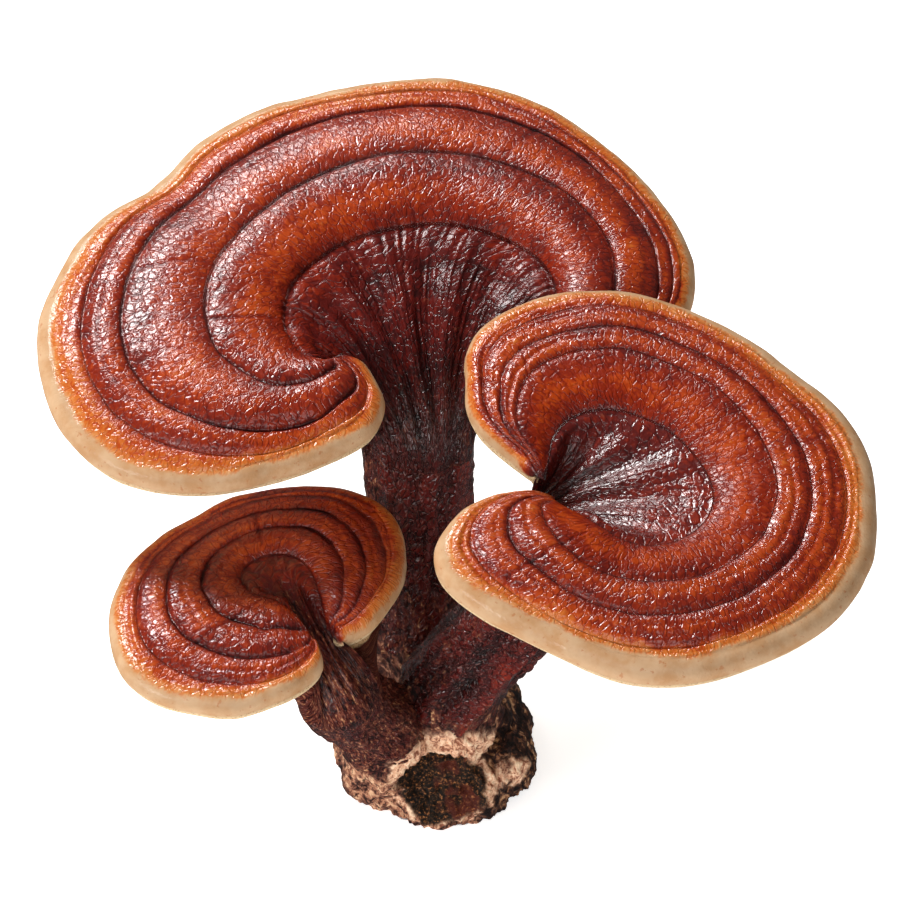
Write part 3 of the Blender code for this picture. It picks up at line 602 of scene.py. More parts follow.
def front_relief(loft, grid):
    """Relief over the fan and the top in mm, and the values that its colours need."""
    cap, phi = loft.cap, loft.phi
    rows, seed = len(grid), cap["seed"]
    fan_end = FAN_ROWS + 2
    top_end = fan_end + len(loft.places)
    fan_part = np.clip((np.arange(rows) - 1) / FAN_ROWS, 0, 1)[:, None]
    zone = np.zeros((rows, 1))
    zone[fan_end:top_end, 0] = np.array(loft.zone_at)
    zone[top_end:] = ZONES
    along = lengths_along(grid, 0)
    across = lengths_along(grid, 1)
    seam = smoothstep(0, RELIEF_CALM, loft.from_seam)
    zone_mm = np.gradient(along, axis=0) / np.maximum(np.gradient(zone, axis=0), 1e-3)
    on_top = smoothstep(0.0, 0.15, zone)

    relief = fold_relief(loft.stem, loft.front_angle, along) * (1 - smoothstep(0.12, 0.6, fan_part))
    core_mm = lengths_along(loft.core[None], 1)
    fan_fine = ridges(value_noise(stack(core_mm / 1.9, along / 13, 0.3), seed + 2))
    fan_broad = value_noise(stack(core_mm / 5.5, along / 24, 0.7), seed + 3)
    fan_weight = smoothstep(0.1, 0.5, fan_part) * (1 - smoothstep(0.0, 0.5, zone)) * seam
    fan_lines = 0.38 * fan_fine + 0.42 * fan_broad
    relief += cap["fan_lines"] * fan_weight * (fan_lines - 0.1) * (1 - 0.75 * on_top)

    groove = np.zeros((rows, len(phi)))
    lobe_fade = smoothstep(0.01, 0.09, loft.from_seam)
    from_edge = np.maximum(along[-1:] - along, 0)

    def cut(distance, depth, half_width, strength, mark):
        """Sink one ring line into the relief, and note how close each point is to it, weighted by the painted
        shade it gets.
        """
        strength = np.clip(strength, 0, 1) * lobe_fade
        line = (1 - smoothstep(0, 1.4 * half_width, distance)) * strength
        near = np.maximum(1 - distance / GROOVE_SHADE, 0) * strength * mark
        return relief - depth * line * (0.4 + 0.6 * loft.size), np.maximum(groove, near)

    for k, depth in enumerate(cap["groove_depths"]):
        distance = np.abs(zone - k) * zone_mm
        if k == 0:
            distance = np.where(fan_part < 1, (1 - fan_part) * 30, distance)
        strength = 0.85 + 0.4 * round_noise(phi, 22, 5.0, seed + 20 + k)
        relief, groove = cut(distance, depth, cap["groove_half"], strength, cap["groove_marks"][k])
    for k, (where, depth, width) in enumerate(cap["fine_rings"]):
        distance = np.abs(zone - where - 0.12 * round_noise(phi, 14, 0.0, seed + 10 + k)) * zone_mm
        strength = 0.75 + 0.7 * round_noise(phi, 9, 3.0, seed + 30 + k)
        relief, groove = cut(distance, depth, width, strength, min(depth * 2.6, 0.8))
    for k, (where, depth, width) in enumerate(cap["edge_rings"]):
        distance = np.abs(from_edge - where - 0.7 * round_noise(phi, 16, 1.0, seed + 70 + k))
        strength = 0.6 + 0.8 * round_noise(phi, 10, 4.0, seed + 80 + k)
        strength = strength * (1 - smoothstep(0.6, 0.8, where / loft.reach))
        relief, groove = cut(distance, depth, width, strength, min(depth * 1.6, 0.4))
    core_at, core_depth = cap["core_ring"]
    core_line = (1 - smoothstep(0, CORE_RING_WIDTH, np.abs(fan_part - core_at))) * (zone == 0)
    core_band = smoothstep(core_at, core_at + CORE_RING_WIDTH, fan_part) * (fan_part < 1)
    relief += core_depth * (0.6 * core_band - core_line) * lobe_fade * loft.size
    groove = np.maximum(groove, min(1.2 * core_depth, 1) * core_line * lobe_fade)

    crack = np.zeros_like(groove)
    for where, low, high, depth, lean in cap["cracks"]:
        line_at = where + lean * (zone - low) + 0.003 * round_noise(zone, 6, where * 10, seed + 50)
        line = np.maximum(1 - np.abs(phi - line_at) * across[:, -1:] / CRACK_HALF, 0)
        line = line * smoothstep(low, low + 0.1, zone) * (1 - smoothstep(high - 0.1, high, zone))
        relief -= depth * line
        crack = np.maximum(crack, line)

    round_mm = across[top_end - 8]
    radial = ridges(value_noise(stack(round_mm / 1.3, along / 6, 0.4), seed + 4))
    patches = smoothstep(-0.4, 0.5, value_noise(stack(round_mm / 14, along / 9, 0.2), seed + 5))
    ripples = value_noise(stack(round_mm / 9, along / 1.5, 0.6), seed + 6)
    fine = RADIAL_RELIEF * radial * (0.35 + 0.65 * patches) + RIPPLE_RELIEF * ripples
    fine = fine + UNEVEN_RELIEF * value_noise(grid / 14, seed + 7)
    relief += fine * on_top * seam * (zone < ZONES)
    waves = RIM_WAVES * layered_noise(stack(round_mm / 9, along / 12, 0.1), 2, seed + 8)
    relief += waves * smoothstep(3.4, 4.0, zone) * seam
    return relief, {"fan_part": fan_part, "zone": zone, "from_edge": from_edge, "groove": groove,
                    "crack": crack, "fan_lines": fan_lines, "round_mm": round_mm, "along": along}


def front_tones(loft, grid, facts):
    """How dark or bright, and how creamy, every point of the front is."""
    cap, phi = loft.cap, loft.phi
    seed = cap["seed"] + 100
    zone, fan_part, along = facts["zone"], facts["fan_part"], facts["along"]
    slow = layered_noise(grid / 22, 2, seed)
    streaks = value_noise(stack(facts["round_mm"] / 2.2, along / 9, 0.5), seed + 1)
    blotches = layered_noise(grid / 5, 2, seed + 2)

    # Each zone is darkest at its grooves and brightest 0.4 of the way out: the zones' own banding, deepened
    # by painted shade where the roll dips into a groove.
    top_tone = 0.49 + 0.02 * zone + 0.08 * np.cos(2 * math.pi * (zone % 1.0 - 0.4))
    fan_tone = 0.17 + 0.18 * smoothstep(0.25, 0.95, fan_part) + 0.09 * facts["fan_lines"]
    bright_side = (1 - smoothstep(*cap["bright_fan"], phi)) * smoothstep(0.3, 0.6, fan_part)
    fan_tone = fan_tone + (0.45 - fan_tone) * bright_side
    onto_top = 0.72 * smoothstep(-0.03, 0.07, zone - 0.02 * (fan_part < 1)) + 0.28 * smoothstep(0, 0.6, zone)
    tone = fan_tone + (top_tone - fan_tone) * onto_top
    tone = tone + 0.07 * slow + 0.05 * streaks + 0.05 * blotches
    # Darker along the grooves, the ring lines and the cracks: painted shade in these hollows.
    tone = tone - 0.15 * facts["groove"] ** 2 - 0.13 * facts["crack"]

    # Towards the notch between the lobes the tone sinks to dark and the cream and amber narrow: painted shade
    # in the crevice.
    clear_of_notch_shade = smoothstep(0.0, 0.05, loft.from_seam)
    tone = 0.16 + (tone - 0.16) * (0.15 + 0.85 * clear_of_notch_shade)
    cream_width = values_round(cap["cream"], phi) * (0.2 + 0.8 * clear_of_notch_shade)
    wobble = 0.8 * layered_noise(stack(facts["round_mm"] / 7, along / 8, 0.5), 2, seed + 3)
    past_cream = facts["from_edge"] - cream_width + wobble
    cream = 1 - smoothstep(-1.8, 0.9, past_cream)
    amber_width = values_round(cap["amber"], phi) * (1.2 + 0.4 * slow)
    amber = 1 - smoothstep(0.35, 1.1, (past_cream + 0.8 * streaks) / amber_width)
    amber_tone = 0.98 - 0.20 * smoothstep(-0.5, 3.0, past_cream)
    tone = tone + (amber_tone - tone) * amber * 0.85 * clear_of_notch_shade
    cream[:FAN_ROWS + 2] = 0
    return np.clip(tone, 0, 1), cream


def build_cap(name, material):
    """One cap with its neck: relief, colours and a coarser underside in one closed mesh."""
    cap, stem = CAPS[name], STEMS[name]
    seed = cap["seed"]
    loft = CapLoft(cap, stem)
    front, back = loft.grids()
    rows, columns = len(front), cap["columns"]
    normals = grid_normals(front)
    outwards = np.sign(normals[-len(RIM_ANGLES) - 5, columns // 2, 2])
    relief, facts = front_relief(loft, front)
    tone, cream = front_tones(loft, front, facts)
    grain = grain_coordinates(front, loft.zone_at, seed)
    front = front + normals * outwards * relief[..., None]

    back = back[:, ::UNDER_STRIDE]
    under_along = lengths_along(back, 0)
    back_normals = grid_normals(back)
    way = np.linspace(0, 1, rows)[:, None]
    under_relief = fold_relief(stem, loft.back_angle[::UNDER_STRIDE], under_along)
    under_relief *= 1 - smoothstep(0.05, 0.35, way)
    under_relief += UNDER_WAVES * layered_noise(back / 9, 2, seed + 60) * smoothstep(0.2, 0.4, way)
    back = back - back_normals * outwards * under_relief[..., None]

    under_rows = list(range(0, rows - len(RIM_ANGLES), UNDER_STRIDE))
    under_rows += list(range(rows - len(RIM_ANGLES) + 1, rows - 1, 2)) + [rows - 1]

    def with_under(values, under_values):
        """Values for the front grid's points, then for the points that only the underside has."""
        depth = values.shape[2:]
        under = np.broadcast_to(under_values, back.shape[:2] + depth)[under_rows[:-1]][:, 1:-1]
        return np.concatenate([values.reshape(-1, *depth), under.reshape(-1, *depth)])

    under_grain = stack(lengths_along(back, 1), under_along, 90.0)
    pore = smoothstep(cap["pores_from"], cap["pores_from"] + 0.18,
                      way + 0.05 * layered_noise(back / 5, 2, seed + 61))
    neck_bark = (stem["bark"] + 0.3 * layered_noise(front / 8, 2, seed + 62)) * (
        1 - smoothstep(stem["bark_up"] - 0.4, stem["bark_up"], facts["fan_part"]))
    in_fan = 1 - smoothstep(0.0, 0.5, facts["zone"])
    sunken = np.maximum(smoothstep(0.35, 0.9, facts["groove"]), facts["crack"])
    first_roll = smoothstep(0.0, 0.25, facts["zone"]) * (1 - smoothstep(0.7, 1.1, facts["zone"]))
    gloss = (1 - (1 - cap["fan_gloss"]) * in_fan) * (1 - 0.7 * sunken) * (1 - cap["calm_roll"] * first_roll)
    like_stem = np.repeat(1 - smoothstep(0.05, 0.5, facts["fan_part"]), columns + 1, axis=1)
    attributes = {
        "tone": with_under(tone, 0.16),
        "cream": with_under(cream, pore),
        "under": with_under(np.zeros((rows, columns + 1)), pore),
        "groove": with_under(facts["groove"], 0.0),
        "gloss": with_under(gloss + (STEM_GLOSS - gloss) * like_stem, 0.3),
        "rough": with_under(1 + (STEM_ROUGHER - 1) * like_stem, 1 + (STEM_ROUGHER - 1) * (1 - pore)),
        "bare": with_under(np.clip(neck_bark, 0, 1), np.clip(stem["bark"] + 0.3, 0, 1) * (1 - pore)),
        "grain": with_under(grain, under_grain),
    }
    mesh = new_mesh(name + "_cap_skin", with_under(front, back), cap_faces(rows, columns, under_rows))
    return mesh_piece(name + "_cap_skin", mesh, material, attributes)


def stem_line(stem):
    """Points, ways, radii and shares of the way along the stem, from inside the root to inside the cap."""
    foot, neck = np.array(stem["foot"], float), np.array(stem["neck"], float)
    length = np.linalg.norm(neck - foot)
    leave, arrive = unit(stem["foot_way"]) * length, unit(stem["neck_way"]) * length
    inside = np.linspace(0, 1, int(length / STEM_STEP))[:, None]
    middle = hermite(foot, neck, leave, arrive, inside)
    below = foot - unit(leave) * np.arange(STEM_INTO_ROOT, 0, -STEM_STEP)[:, None]
    above = neck + unit(arrive) * np.arange(STEM_STEP, STEM_INTO_CAP + 0.01, STEM_STEP)[:, None]
    points = np.vstack([below, middle, above])
    share = np.concatenate([np.zeros(len(below)), inside[:, 0], np.ones(len(above))])
    radii = stem["foot_radius"] + (stem["neck_radius"] - stem["foot_radius"]) * share
    radii = radii - np.sin(math.pi * share)
    return points, unit(np.gradient(points, axis=0)), radii, share


def build_stem(name, material):
    """A folded tube whose ends are hidden, the lower one in the root and the upper one in the cap's neck."""
    stem = STEMS[name]
    seed = stem["seed"]
    points, ways, radii, share = stem_line(stem)
    first, second = (side[:, None] for side in ring_basis(ways))
    along = np.concatenate([[0], np.cumsum(np.linalg.norm(np.diff(points, axis=0), axis=1))])
    to_neck = along - along[np.searchsorted(share, 1.0)]
    along, to_neck, radii, share = (values[:, None] for values in (along, to_neck, radii, share))
    angles = np.linspace(0, 2 * math.pi, STEM_SIDES, endpoint=False)

    fold = stem["fold_depth"] * np.sin(math.pi * share)
    bulge = fold * np.cos(stem["folds"] * angles + stem["turn"] + 1.2 * share)
    relief = fold_relief(stem, angles, to_neck)
    bent = to_neck + 1.5 * relief
    crosswise = value_noise(around(angles, 3.4, bent / STEM_RIPPLE_WAVE), seed + 9)
    rippled = smoothstep(-0.3, 0.4, value_noise(around(angles, 1.6, bent / 16), seed + 10))
    grit = layered_noise(around(angles, 12.0, to_neck / 1.7), 2, seed + 12)
    calm_neck = 1 - smoothstep(-7, -1, to_neck)
    relief = relief + (STEM_RIPPLES * crosswise * (0.3 + 0.7 * rippled) + STEM_GRIT * grit) * calm_neck
    tuck = STEM_TUCK * smoothstep(-0.6, 1.0, to_neck)
    reach = (radii + bulge + relief - tuck)[..., None]
    spots = points[:, None] + reach * (np.cos(angles)[:, None] * first + np.sin(angles)[:, None] * second)
    rows = len(points)
    rings = np.arange(rows * STEM_SIDES).reshape(rows, STEM_SIDES)
    turned = np.roll(rings, -1, axis=1)
    faces = stack(rings[:-1], turned[:-1], turned[1:], rings[1:]).reshape(-1, 4).tolist()
    faces += [rings[0, ::-1].tolist(), rings[-1].tolist()]

    low = 1 - smoothstep(2, 30, along - STEM_INTO_ROOT + 12 * layered_noise(spots / 9, 2, 71))
    patches = layered_noise(spots / 10, 2, seed + 73)
    from_strip = np.abs(angles - math.radians(stem["strip_at"]))
    strip = 1 - smoothstep(0.12, 0.38, from_strip + 0.2 * layered_noise(spots / 5, 2, seed + 74))
    strip = strip * smoothstep(stem["strip_from"], stem["strip_from"] + 0.4, share)
    barky = np.maximum(np.maximum(low * stem["low_bark"], stem["bark"] + 0.35 * patches), strip)
    # The tone is lighter on the cords and darker between them: painted shade and highlight that follow the
    # relief.
    tone = STEM_TONE + 0.07 * layered_noise(spots / 8, 2, 72) + 0.12 * np.clip((relief + 0.2) / 1.2, -1, 1)
    attributes = {
        "tone": tone, "cream": 0.0, "under": 0.0, "groove": 0.0, "gloss": STEM_GLOSS, "rough": STEM_ROUGHER,
        "bare": np.clip(barky, 0, 1), "grain": stack(angles * stem["neck_radius"], to_neck, float(seed)),
    }
    return mesh_piece(name + "_stem_skin", new_mesh(name + "_stem_skin", spots, faces), material, attributes)


def add_ball(bm, centre, radii):
    """A rounded lump, from its middle and its three radii in mm."""
    place = Matrix.Translation(Vector(centre) * MM) @ Matrix.Diagonal((*[r * MM for r in radii], 1.0))
    bmesh.ops.create_icosphere(bm, subdivisions=4, radius=1.0, matrix=place)


def merged_root():
    """The root's lumps and stubs merged into one skin."""
    bm = bmesh.new()
    for centre, radii in ROOT_LUMPS:
        add_ball(bm, centre, radii)
    for side, stem in STEMS.items():
        heart, heart_radius = ROOT_HEARTS[side]
        radius = stem["foot_radius"] - ROOT_SLIMMER
        start = Vector(stem["foot"]) - Vector(stem["foot_way"]).normalized() * (radius - COLLAR_RISE)
        for step in range(ROOT_STUB_STEPS + 1):
            t = step / ROOT_STUB_STEPS
            size = radius + (heart_radius - radius) * t
            add_ball(bm, start.lerp(Vector(heart), t), (size, size, size))
    for vert in bm.verts:
        spot = vert.co / MM
        way = (spot - Vector((0, 0, ROOT_LUMP_HEIGHT))).normalized()
        from_foot = min((spot - Vector(stem["foot"])).length for stem in STEMS.values())
        calm = min(max(from_foot / FOOT_CALM - 1, 0), 1)
        vert.co += way * ROOT_LUMPINESS * calm * noise.noise(spot / ROOT_LUMP_SIZE) * MM
    rough = bpy.data.meshes.new("root_rough")
    bm.to_mesh(rough)
    bm.free()
    holder = bpy.data.objects.new("root_rough", rough)
    bpy.context.scene.collection.objects.link(holder)
    merge = holder.modifiers.new("merge", "REMESH")
    merge.mode = "VOXEL"
    merge.voxel_size = ROOT_VOXEL * MM
    bpy.context.view_layer.update()
    mesh = bpy.data.meshes.new_from_object(holder.evaluated_get(bpy.context.evaluated_depsgraph_get()))
    bpy.data.objects.remove(holder, do_unlink=True)
    mesh.name = "base_skin"
    return mesh


def build_root(material):
    """The woody root: granular and fibrous, with a burnt hollow in front and a pale broken rim round it."""
    mesh = merged_root()
    spots, normals = (np.empty(len(mesh.vertices) * 3) for _ in range(2))
    mesh.vertices.foreach_get("co", spots)
    mesh.vertex_normals.foreach_get("vector", normals)
    spots, normals = spots.reshape(-1, 3) / MM, normals.reshape(-1, 3)

    calm, skin = 1.0, 0.0
    for stem in STEMS.values():
        away = spots - np.array(stem["foot"])
        depth = -(away @ unit(stem["foot_way"]))
        from_line = np.linalg.norm(away + depth[:, None] * unit(stem["foot_way"]), axis=1)
        close = 1 - smoothstep(stem["foot_radius"] + 3, stem["foot_radius"] + 9, from_line)
        calm = calm * (1 - 0.55 * close * (1 - smoothstep(3, 10, depth)))
        edge = depth + 7 * layered_noise(spots / 9, 3, 80)
        skin = np.maximum(skin, close * (1 - smoothstep(4, 20, edge)))
    slanted = spots @ np.array([(1.0, 0.2, 0.1), (-0.1, 1.0, 0.3), (0.3, -0.2, 0.5)])
    lumps = LUMP_RELIEF * layered_noise(spots / 7, 2, 81)
    knobs = KNOB_RELIEF * ridges(layered_noise(slanted / 3.4, 2, 82))
    grit = GRIT_RELIEF * layered_noise(slanted / 1.2, 2, 83)
    spots = spots + normals * ((lumps + knobs + grit) * calm)[:, None]

    first, second = ring_basis(CHAR_WAY)
    away = spots - np.array(CHAR_CENTRE)
    across, upward, height = away @ first, away @ second, away @ unit(CHAR_WAY)
    turn = np.arctan2(upward, across)
    edge_radius = CHAR_RADIUS * (0.95 + 0.20 * layered_noise(around(turn, 1.6, 0.2), 3, 84))
    from_edge = edge_radius - np.hypot(across, upward)
    facing = smoothstep(-7, -3, height)
    inside = smoothstep(-0.8, 0.8, from_edge + 0.8 * layered_noise(spots / 1.6, 2, 87)) * facing
    bottom = -1.0 - CHAR_DEPTH * smoothstep(0, 6, from_edge) + 1.1 * layered_noise(spots / 2.2, 3, 85)
    spots = spots + unit(CHAR_WAY) * ((np.minimum(height, bottom) - height) * inside)[:, None]

    upper = np.maximum(np.cos(turn - math.radians(PALE_RIM_AT)), 0) ** 0.6
    ragged = from_edge + 1.6 * layered_noise(spots / 2.8, 3, 86)
    rim = smoothstep(-1.25, -0.8, ragged / (0.8 + PALE_RIM_WIDTH * upper))
    rim = rim * (1 - smoothstep(-0.3, 0.8, from_edge)) * facing
    torn = ridges(layered_noise(spots / 2.4, 2, 88))
    spots = spots + normals * (rim * upper * (0.7 + 0.6 * torn))[:, None]
    from_patch = np.linalg.norm(spots - np.array(BARE_PATCH), axis=1)
    chipped = 1 - smoothstep(2.5, 4.5, from_patch + 2.2 * layered_noise(spots / 3, 2, 89))
    spots[:, 2] = np.maximum(spots[:, 2], 0)
    mesh.vertices.foreach_set("co", (spots * MM).ravel())
    mesh.update()
    return mesh_piece("base_skin", mesh, material, {
        "char": inside, "pale": np.clip(np.maximum(rim, chipped), 0, 1), "skin": np.clip(skin, 0, 1),
        "sooty": smoothstep(6, 15, spots[:, 0] + 4 * layered_noise(spots / 5, 2, 90)),
    })


def tint(red, green, blue):
    """A linear colour from values as a screen shows them, 0 to 255."""
    return tuple(((v / 255 + 0.055) / 1.055) ** 2.4 if v > 10 else v / 255 / 12.92
                 for v in (red, green, blue))


class Nodes:
    """A material's node tree, with short calls for the nodes used here."""

    def __init__(self, name):
        self.material = bpy.data.materials.new(name)
        self.material.use_nodes = True
        self.tree = self.material.node_tree
        self.inputs = self.tree.nodes["Principled BSDF"].inputs

    def put(self, socket, value):
        """Link a socket to this one, or set its own value."""
        if isinstance(value, bpy.types.NodeSocket):
            self.tree.links.new(value, socket)
        elif isinstance(value, tuple) and socket.type == "RGBA":
            socket.default_value = (*value, 1.0)
        else:
            socket.default_value = value

    def shade(self, **values):
        """Set the shader's inputs; an underscore in a name stands for a space."""
        for name, value in values.items():
            self.put(self.inputs[name.replace("_", " ")], value)

    def add(self, kind, inputs=(), **settings):
        node = self.tree.nodes.new(kind)
        for key, value in settings.items():
            setattr(node, key, value)
        for key, value in dict(inputs).items():
            self.put(node.inputs[key], value)
        return node

    def value(self, name):
        return self.add("ShaderNodeAttribute", attribute_name=name).outputs["Fac"]

    def place(self):
        return self.add("ShaderNodeTexCoord").outputs["Object"]

    def math(self, operation, *values):
        return self.add("ShaderNodeMath", dict(enumerate(values)), operation=operation).outputs[0]

    def total(self, *terms, plus=0.0):
        """A sum of (socket, factor) terms and a plain number."""
        result = plus
        for socket, factor in terms:
            result = self.math("MULTIPLY_ADD", socket, factor, result)
        return result

    def scaled(self, vector, scale):
        return self.add("ShaderNodeVectorMath", {0: vector, 1: scale}, operation="MULTIPLY").outputs[0]

    def noise(self, vector, scale, detail=2.0, roughness=0.5, distortion=0.0):
        return self.add("ShaderNodeTexNoise", {
            "Vector": vector, "Scale": scale, "Detail": detail, "Roughness": roughness,
            "Distortion": distortion}).outputs["Fac"]

    def cells(self, vector, scale, feature):
        node = self.add("ShaderNodeTexVoronoi", {"Vector": vector, "Scale": scale}, feature=feature)
        return node.outputs["Distance"]

    def ramp(self, value, *stops):
        """Colours along a value; a stop is (value, red, green, blue)."""
        node = self.add("ShaderNodeValToRGB", {"Fac": value})
        node.color_ramp.interpolation = "EASE"
        points = node.color_ramp.elements
        while len(points) < len(stops):
            points.new(0.5)
        for point, (position, *screen_colour) in zip(points, stops):
            point.position = position
            point.color = (*tint(*screen_colour), 1.0)
        return node.outputs["Color"]

    def between(self, value, low, high, low_result=0.0, high_result=1.0):
        """A smooth slope from one result at low to the other at high."""
        return self.add("ShaderNodeMapRange", {
            "Value": value, "From Min": low, "From Max": high, "To Min": low_result,
            "To Max": high_result}, interpolation_type="SMOOTHSTEP").outputs["Result"]

    def mix(self, share, first, second):
        """Two colours mixed by a share from 0 to 1."""
        return self.add("ShaderNodeMix", {0: share, 6: first, 7: second}, data_type="RGBA").outputs[2]

    def mix_value(self, share, first, second):
        return self.add("ShaderNodeMix", {0: share, 2: first, 3: second}).outputs[0]

    def bump(self, height, distance):
        """A bumped normal; the distance is in mm."""
        node = self.add("ShaderNodeBump", {"Height": height, "Distance": distance * MM, "Strength": 1.0})
        return node.outputs["Normal"]


def wrinkled(nodes, grain):
    """Creases between small cells that are long across the rings, and short dashes the same way."""
    sway = nodes.noise(nodes.scaled(grain, (0.6, 0.4, 1.0)), 1.0, 1.0)
    both = nodes.add("ShaderNodeCombineXYZ", {"X": sway, "Y": sway}).outputs[0]
    bent = nodes.add("ShaderNodeVectorMath", {0: nodes.scaled(grain, (0.62, 0.42, 1.0)), 1: both},
                     operation="ADD").outputs[0]
    creases = nodes.between(nodes.cells(bent, 1.0, "DISTANCE_TO_EDGE"), 0.0, 0.15)
    dashes = nodes.noise(nodes.scaled(bent, (2.6, 2.0, 1.0)), 1.0, 2.0, 0.55)
    return creases, dashes


def lacquer_material(name):
    """The skin of caps and stems.

    Lacquer runs from dark in the fan to red and orange on the rolls, with painted shade in grooves and
    creases.
    Over it come the cream rim, the pores below, dull bark with tan and black fibres, and painted glints on
    stems.
    """
    nodes = Nodes(name)
    cream, under, groove = nodes.value("cream"), nodes.value("under"), nodes.value("groove")
    grain = nodes.add("ShaderNodeAttribute", attribute_name="grain").outputs["Vector"]
    creases, dashes = wrinkled(nodes, grain)
    place = nodes.place()
    mottle = nodes.noise(place, 420.0, 2.0, 0.6)
    grit = nodes.noise(place, 1500.0, 1.0, 0.6)

    # The shade value dips along the groove lines and the wrinkles' creases: painted shade.
    groove_shade_line = nodes.between(groove, 0.55, 0.95)
    shade = nodes.total((nodes.value("tone"), 1.0), (dashes, 0.26), (mottle, 0.26), (creases, 0.08),
                        (groove_shade_line, -0.08), plus=-0.34)
    lacquer = nodes.ramp(
        shade, (0.00, 18, 5, 5), (0.14, 52, 12, 11), (0.30, 86, 18, 13), (0.46, 126, 31, 8),
        (0.62, 166, 58, 10), (0.78, 190, 98, 34), (1.00, 206, 146, 88))
    blotch = nodes.between(nodes.noise(place, 170.0, 3.0, 0.6), 0.35, 0.68)
    cream_colour = nodes.mix(blotch, tint(194, 158, 122), tint(182, 138, 97))
    flecks = nodes.between(nodes.noise(place, 640.0, 2.0, 0.6), 0.63, 0.71)
    cream_colour = nodes.mix(nodes.math("MULTIPLY", flecks, 0.55), cream_colour, tint(168, 100, 58))
    cream_edge = nodes.between(nodes.total((cream, 1.0), (dashes, 0.6), (mottle, 0.8), plus=-0.7), 0.12, 0.88)
    colour = nodes.mix(cream_edge, lacquer, cream_colour)
    pores = nodes.between(nodes.cells(place, 1600.0, "F1"), 0.15, 0.45)
    colour = nodes.mix(under, colour, nodes.mix(pores, tint(150, 112, 76), tint(214, 186, 146)))
    fibre = nodes.noise(nodes.scaled(grain, (1.5, 0.5, 1.5)), 1.0, 4.0, 0.65, 0.5)
    bark = nodes.ramp(
        fibre, (0.38, 22, 6, 6), (0.50, 72, 26, 21), (0.60, 116, 60, 42), (0.70, 198, 148, 104))
    bark_share = nodes.total((nodes.value("bare"), 1.0), (mottle, 0.9), plus=-0.45)
    bark_share = nodes.between(bark_share, 0.3, 0.6)
    colour = nodes.mix(bark_share, colour, bark)
    rough = nodes.value("rough")
    on_stem = nodes.between(rough, 1.0, STEM_ROUGHER, 0.0, 0.5)
    # Pale pinkish flecks on the stems' ridges: painted glints.
    painted_glint = nodes.math("MULTIPLY", nodes.between(dashes, 0.6, 0.7), on_stem)
    colour = nodes.mix(painted_glint, colour, tint(150, 108, 100))
    matt = nodes.math("MAXIMUM", under, nodes.math("MULTIPLY", bark_share, 0.8))
    matt = nodes.math("MAXIMUM", cream_edge, matt)

    shine = nodes.between(nodes.noise(place, 140.0, 2.0), 0.3, 0.7, 0.38, 0.52)
    beads = nodes.between(dashes, 0.5, 0.68)
    zipper = nodes.math("MULTIPLY", nodes.math("MULTIPLY", dashes, groove), 1.5)
    lift = nodes.total((creases, 0.9), (dashes, 0.75), (beads, 0.28), (grit, 0.06), (zipper, 1.0))
    lift = nodes.mix_value(matt, lift, nodes.total((mottle, 0.8), (grit, 0.4), (dashes, 0.7)))
    wrinkles = nodes.bump(nodes.math("MULTIPLY", lift, rough), 0.11)
    nodes.shade(Base_Color=colour, Roughness=nodes.mix_value(matt, shine, 0.6),
                Coat_Weight=nodes.math("MULTIPLY", nodes.mix_value(matt, 0.8, 0.22), nodes.value("gloss")),
                Coat_Roughness=0.14, Specular_IOR_Level=0.06, Normal=wrinkles, Coat_Normal=wrinkles)
    return nodes.material


def root_material():
    """Woody root: pinkish tan with specks, a burnt hollow, a pale broken rim and dark skin near the stems."""
    nodes = Nodes("root_skin_looks")
    place = nodes.place()
    slanted = nodes.scaled(place, (1.0, 0.8, 0.55))
    mottle = nodes.noise(place, 300.0, 4.0, 0.65)
    grit = nodes.noise(place, 1300.0, 3.0, 0.65)
    flakes = nodes.noise(slanted, 520.0, 3.0, 0.6, 0.8)
    grain = nodes.total((mottle, 0.4), (flakes, 0.6))
    fine_grain = nodes.total((grit, 0.4), (flakes, 0.6))
    wood = nodes.ramp(
        grain, (0.40, 44, 20, 16), (0.47, 112, 66, 50), (0.53, 178, 122, 92), (0.61, 224, 180, 142))
    sooty = nodes.ramp(
        grain, (0.44, 20, 10, 8), (0.51, 62, 34, 25), (0.57, 140, 92, 62), (0.63, 206, 160, 118))
    wood = nodes.mix(nodes.value("sooty"), wood, sooty)
    specks = nodes.between(nodes.noise(slanted, 900.0, 3.0, 0.7), 0.55, 0.62)
    wood = nodes.mix(nodes.math("MULTIPLY", specks, 0.85), wood, tint(28, 12, 9))
    char = nodes.ramp(grit, (0.38, 12, 8, 5), (0.52, 40, 27, 15), (0.60, 98, 58, 30), (0.68, 186, 120, 70))
    rust = nodes.between(nodes.noise(place, 95.0, 2.0), 0.56, 0.66)
    char = nodes.mix(nodes.math("MULTIPLY", rust, 0.5), char, tint(112, 38, 20))
    pale = nodes.ramp(fine_grain, (0.42, 140, 82, 58), (0.50, 222, 170, 136), (0.60, 246, 214, 180))
    dark_skin = nodes.ramp(
        fine_grain, (0.44, 24, 7, 7), (0.52, 76, 28, 22), (0.58, 124, 68, 47), (0.65, 200, 152, 108))
    colour = nodes.mix(nodes.value("skin"), wood, dark_skin)
    colour = nodes.mix(nodes.value("pale"), colour, pale)
    colour = nodes.mix(nodes.value("char"), colour, char)
    lift = nodes.total((mottle, 1.2), (flakes, 0.9), (grit, 0.8))
    nodes.shade(Base_Color=colour, Roughness=nodes.between(mottle, 0.3, 0.7, 0.6, 0.85),
                Specular_IOR_Level=0.3, Normal=nodes.bump(lift, 0.6))
    return nodes.material


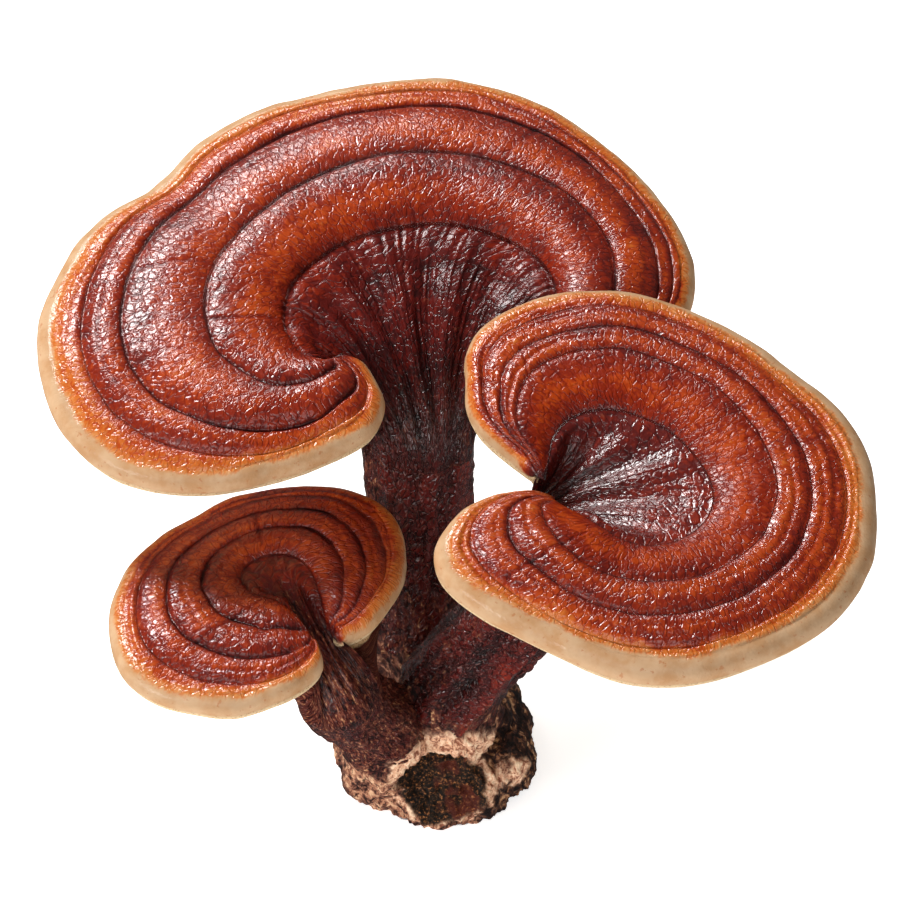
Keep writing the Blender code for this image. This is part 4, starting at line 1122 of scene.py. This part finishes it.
def add_floor():
    """A pale glowing floor that doesn't show in the lacquer."""
    nodes = Nodes("pale_floor")
    shade = nodes.noise(nodes.place(), 3.0, 2.0)
    nodes.shade(Base_Color=nodes.mix(shade, (0.93, 0.93, 0.93), (0.95, 0.95, 0.95)), Roughness=0.9,
                Emission_Color=(1.0, 1.0, 1.0), Emission_Strength=FLOOR_GLOW)
    bpy.ops.mesh.primitive_plane_add(size=FLOOR_SIZE, location=(0, 0, 0))
    floor = bpy.context.object
    floor.name = "floor"
    floor.data.materials.append(nodes.material)
    floor.visible_glossy = False


def add_softbox(name, way, distance, width, height, power, lights_all):
    """A soft rectangular light that looks at the middle of the mushroom."""
    light = bpy.data.lights.new(name, "AREA")
    light.shape = "RECTANGLE"
    light.size, light.size_y = width, height
    light.energy = power
    lamp = bpy.data.objects.new(name, light)
    way = Vector(way).normalized()
    lamp.location = Vector(CAMERA_TARGET) * MM + way * distance
    lamp.rotation_euler = way.to_track_quat("Z", "Y").to_euler()
    lamp.visible_diffuse = lights_all
    bpy.context.scene.collection.objects.link(lamp)


def add_lights():
    for softbox in SOFTBOXES:
        add_softbox(*softbox)
    world = bpy.data.worlds.new("studio")
    bpy.context.scene.world = world
    world.use_nodes = True
    background = world.node_tree.nodes["Background"]
    background.inputs["Color"].default_value = (1.0, 1.0, 1.0, 1.0)
    background.inputs["Strength"].default_value = WORLD_LIGHT
    bpy.context.scene.view_settings.view_transform = "Standard"


def add_camera():
    data = bpy.data.cameras.new("camera")
    data.lens = CAMERA_LENS
    data.sensor_width = CAMERA_SENSOR
    camera = bpy.data.objects.new("camera", data)
    down = math.radians(CAMERA_DOWN)
    back_off = Vector((0, -math.cos(down), math.sin(down))) * CAMERA_DISTANCE
    camera.location = (Vector(CAMERA_TARGET) + back_off) * MM
    camera.rotation_euler = (math.pi / 2 - down, 0, 0)
    bpy.context.scene.collection.objects.link(camera)
    bpy.context.scene.camera = camera


def finish_piece(piece, node):
    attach(piece, "root")
    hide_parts(node)


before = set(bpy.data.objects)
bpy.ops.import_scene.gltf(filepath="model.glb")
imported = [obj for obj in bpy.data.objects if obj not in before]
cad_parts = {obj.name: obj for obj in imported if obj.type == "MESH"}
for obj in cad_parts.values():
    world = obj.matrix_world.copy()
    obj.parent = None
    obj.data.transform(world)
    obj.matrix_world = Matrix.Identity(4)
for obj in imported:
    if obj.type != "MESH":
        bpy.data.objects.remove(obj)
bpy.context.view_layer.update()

cap_skin = lacquer_material("lacquer_looks")
stem_skin = lacquer_material("stem_skin_looks")
finish_piece(build_root(root_material()), "base")
for side in ("back", "right", "left"):
    finish_piece(build_stem(side, stem_skin), side + "_stem")
    finish_piece(build_cap(side, cap_skin), side + "_cap")

add_floor()
add_lights()
add_camera()
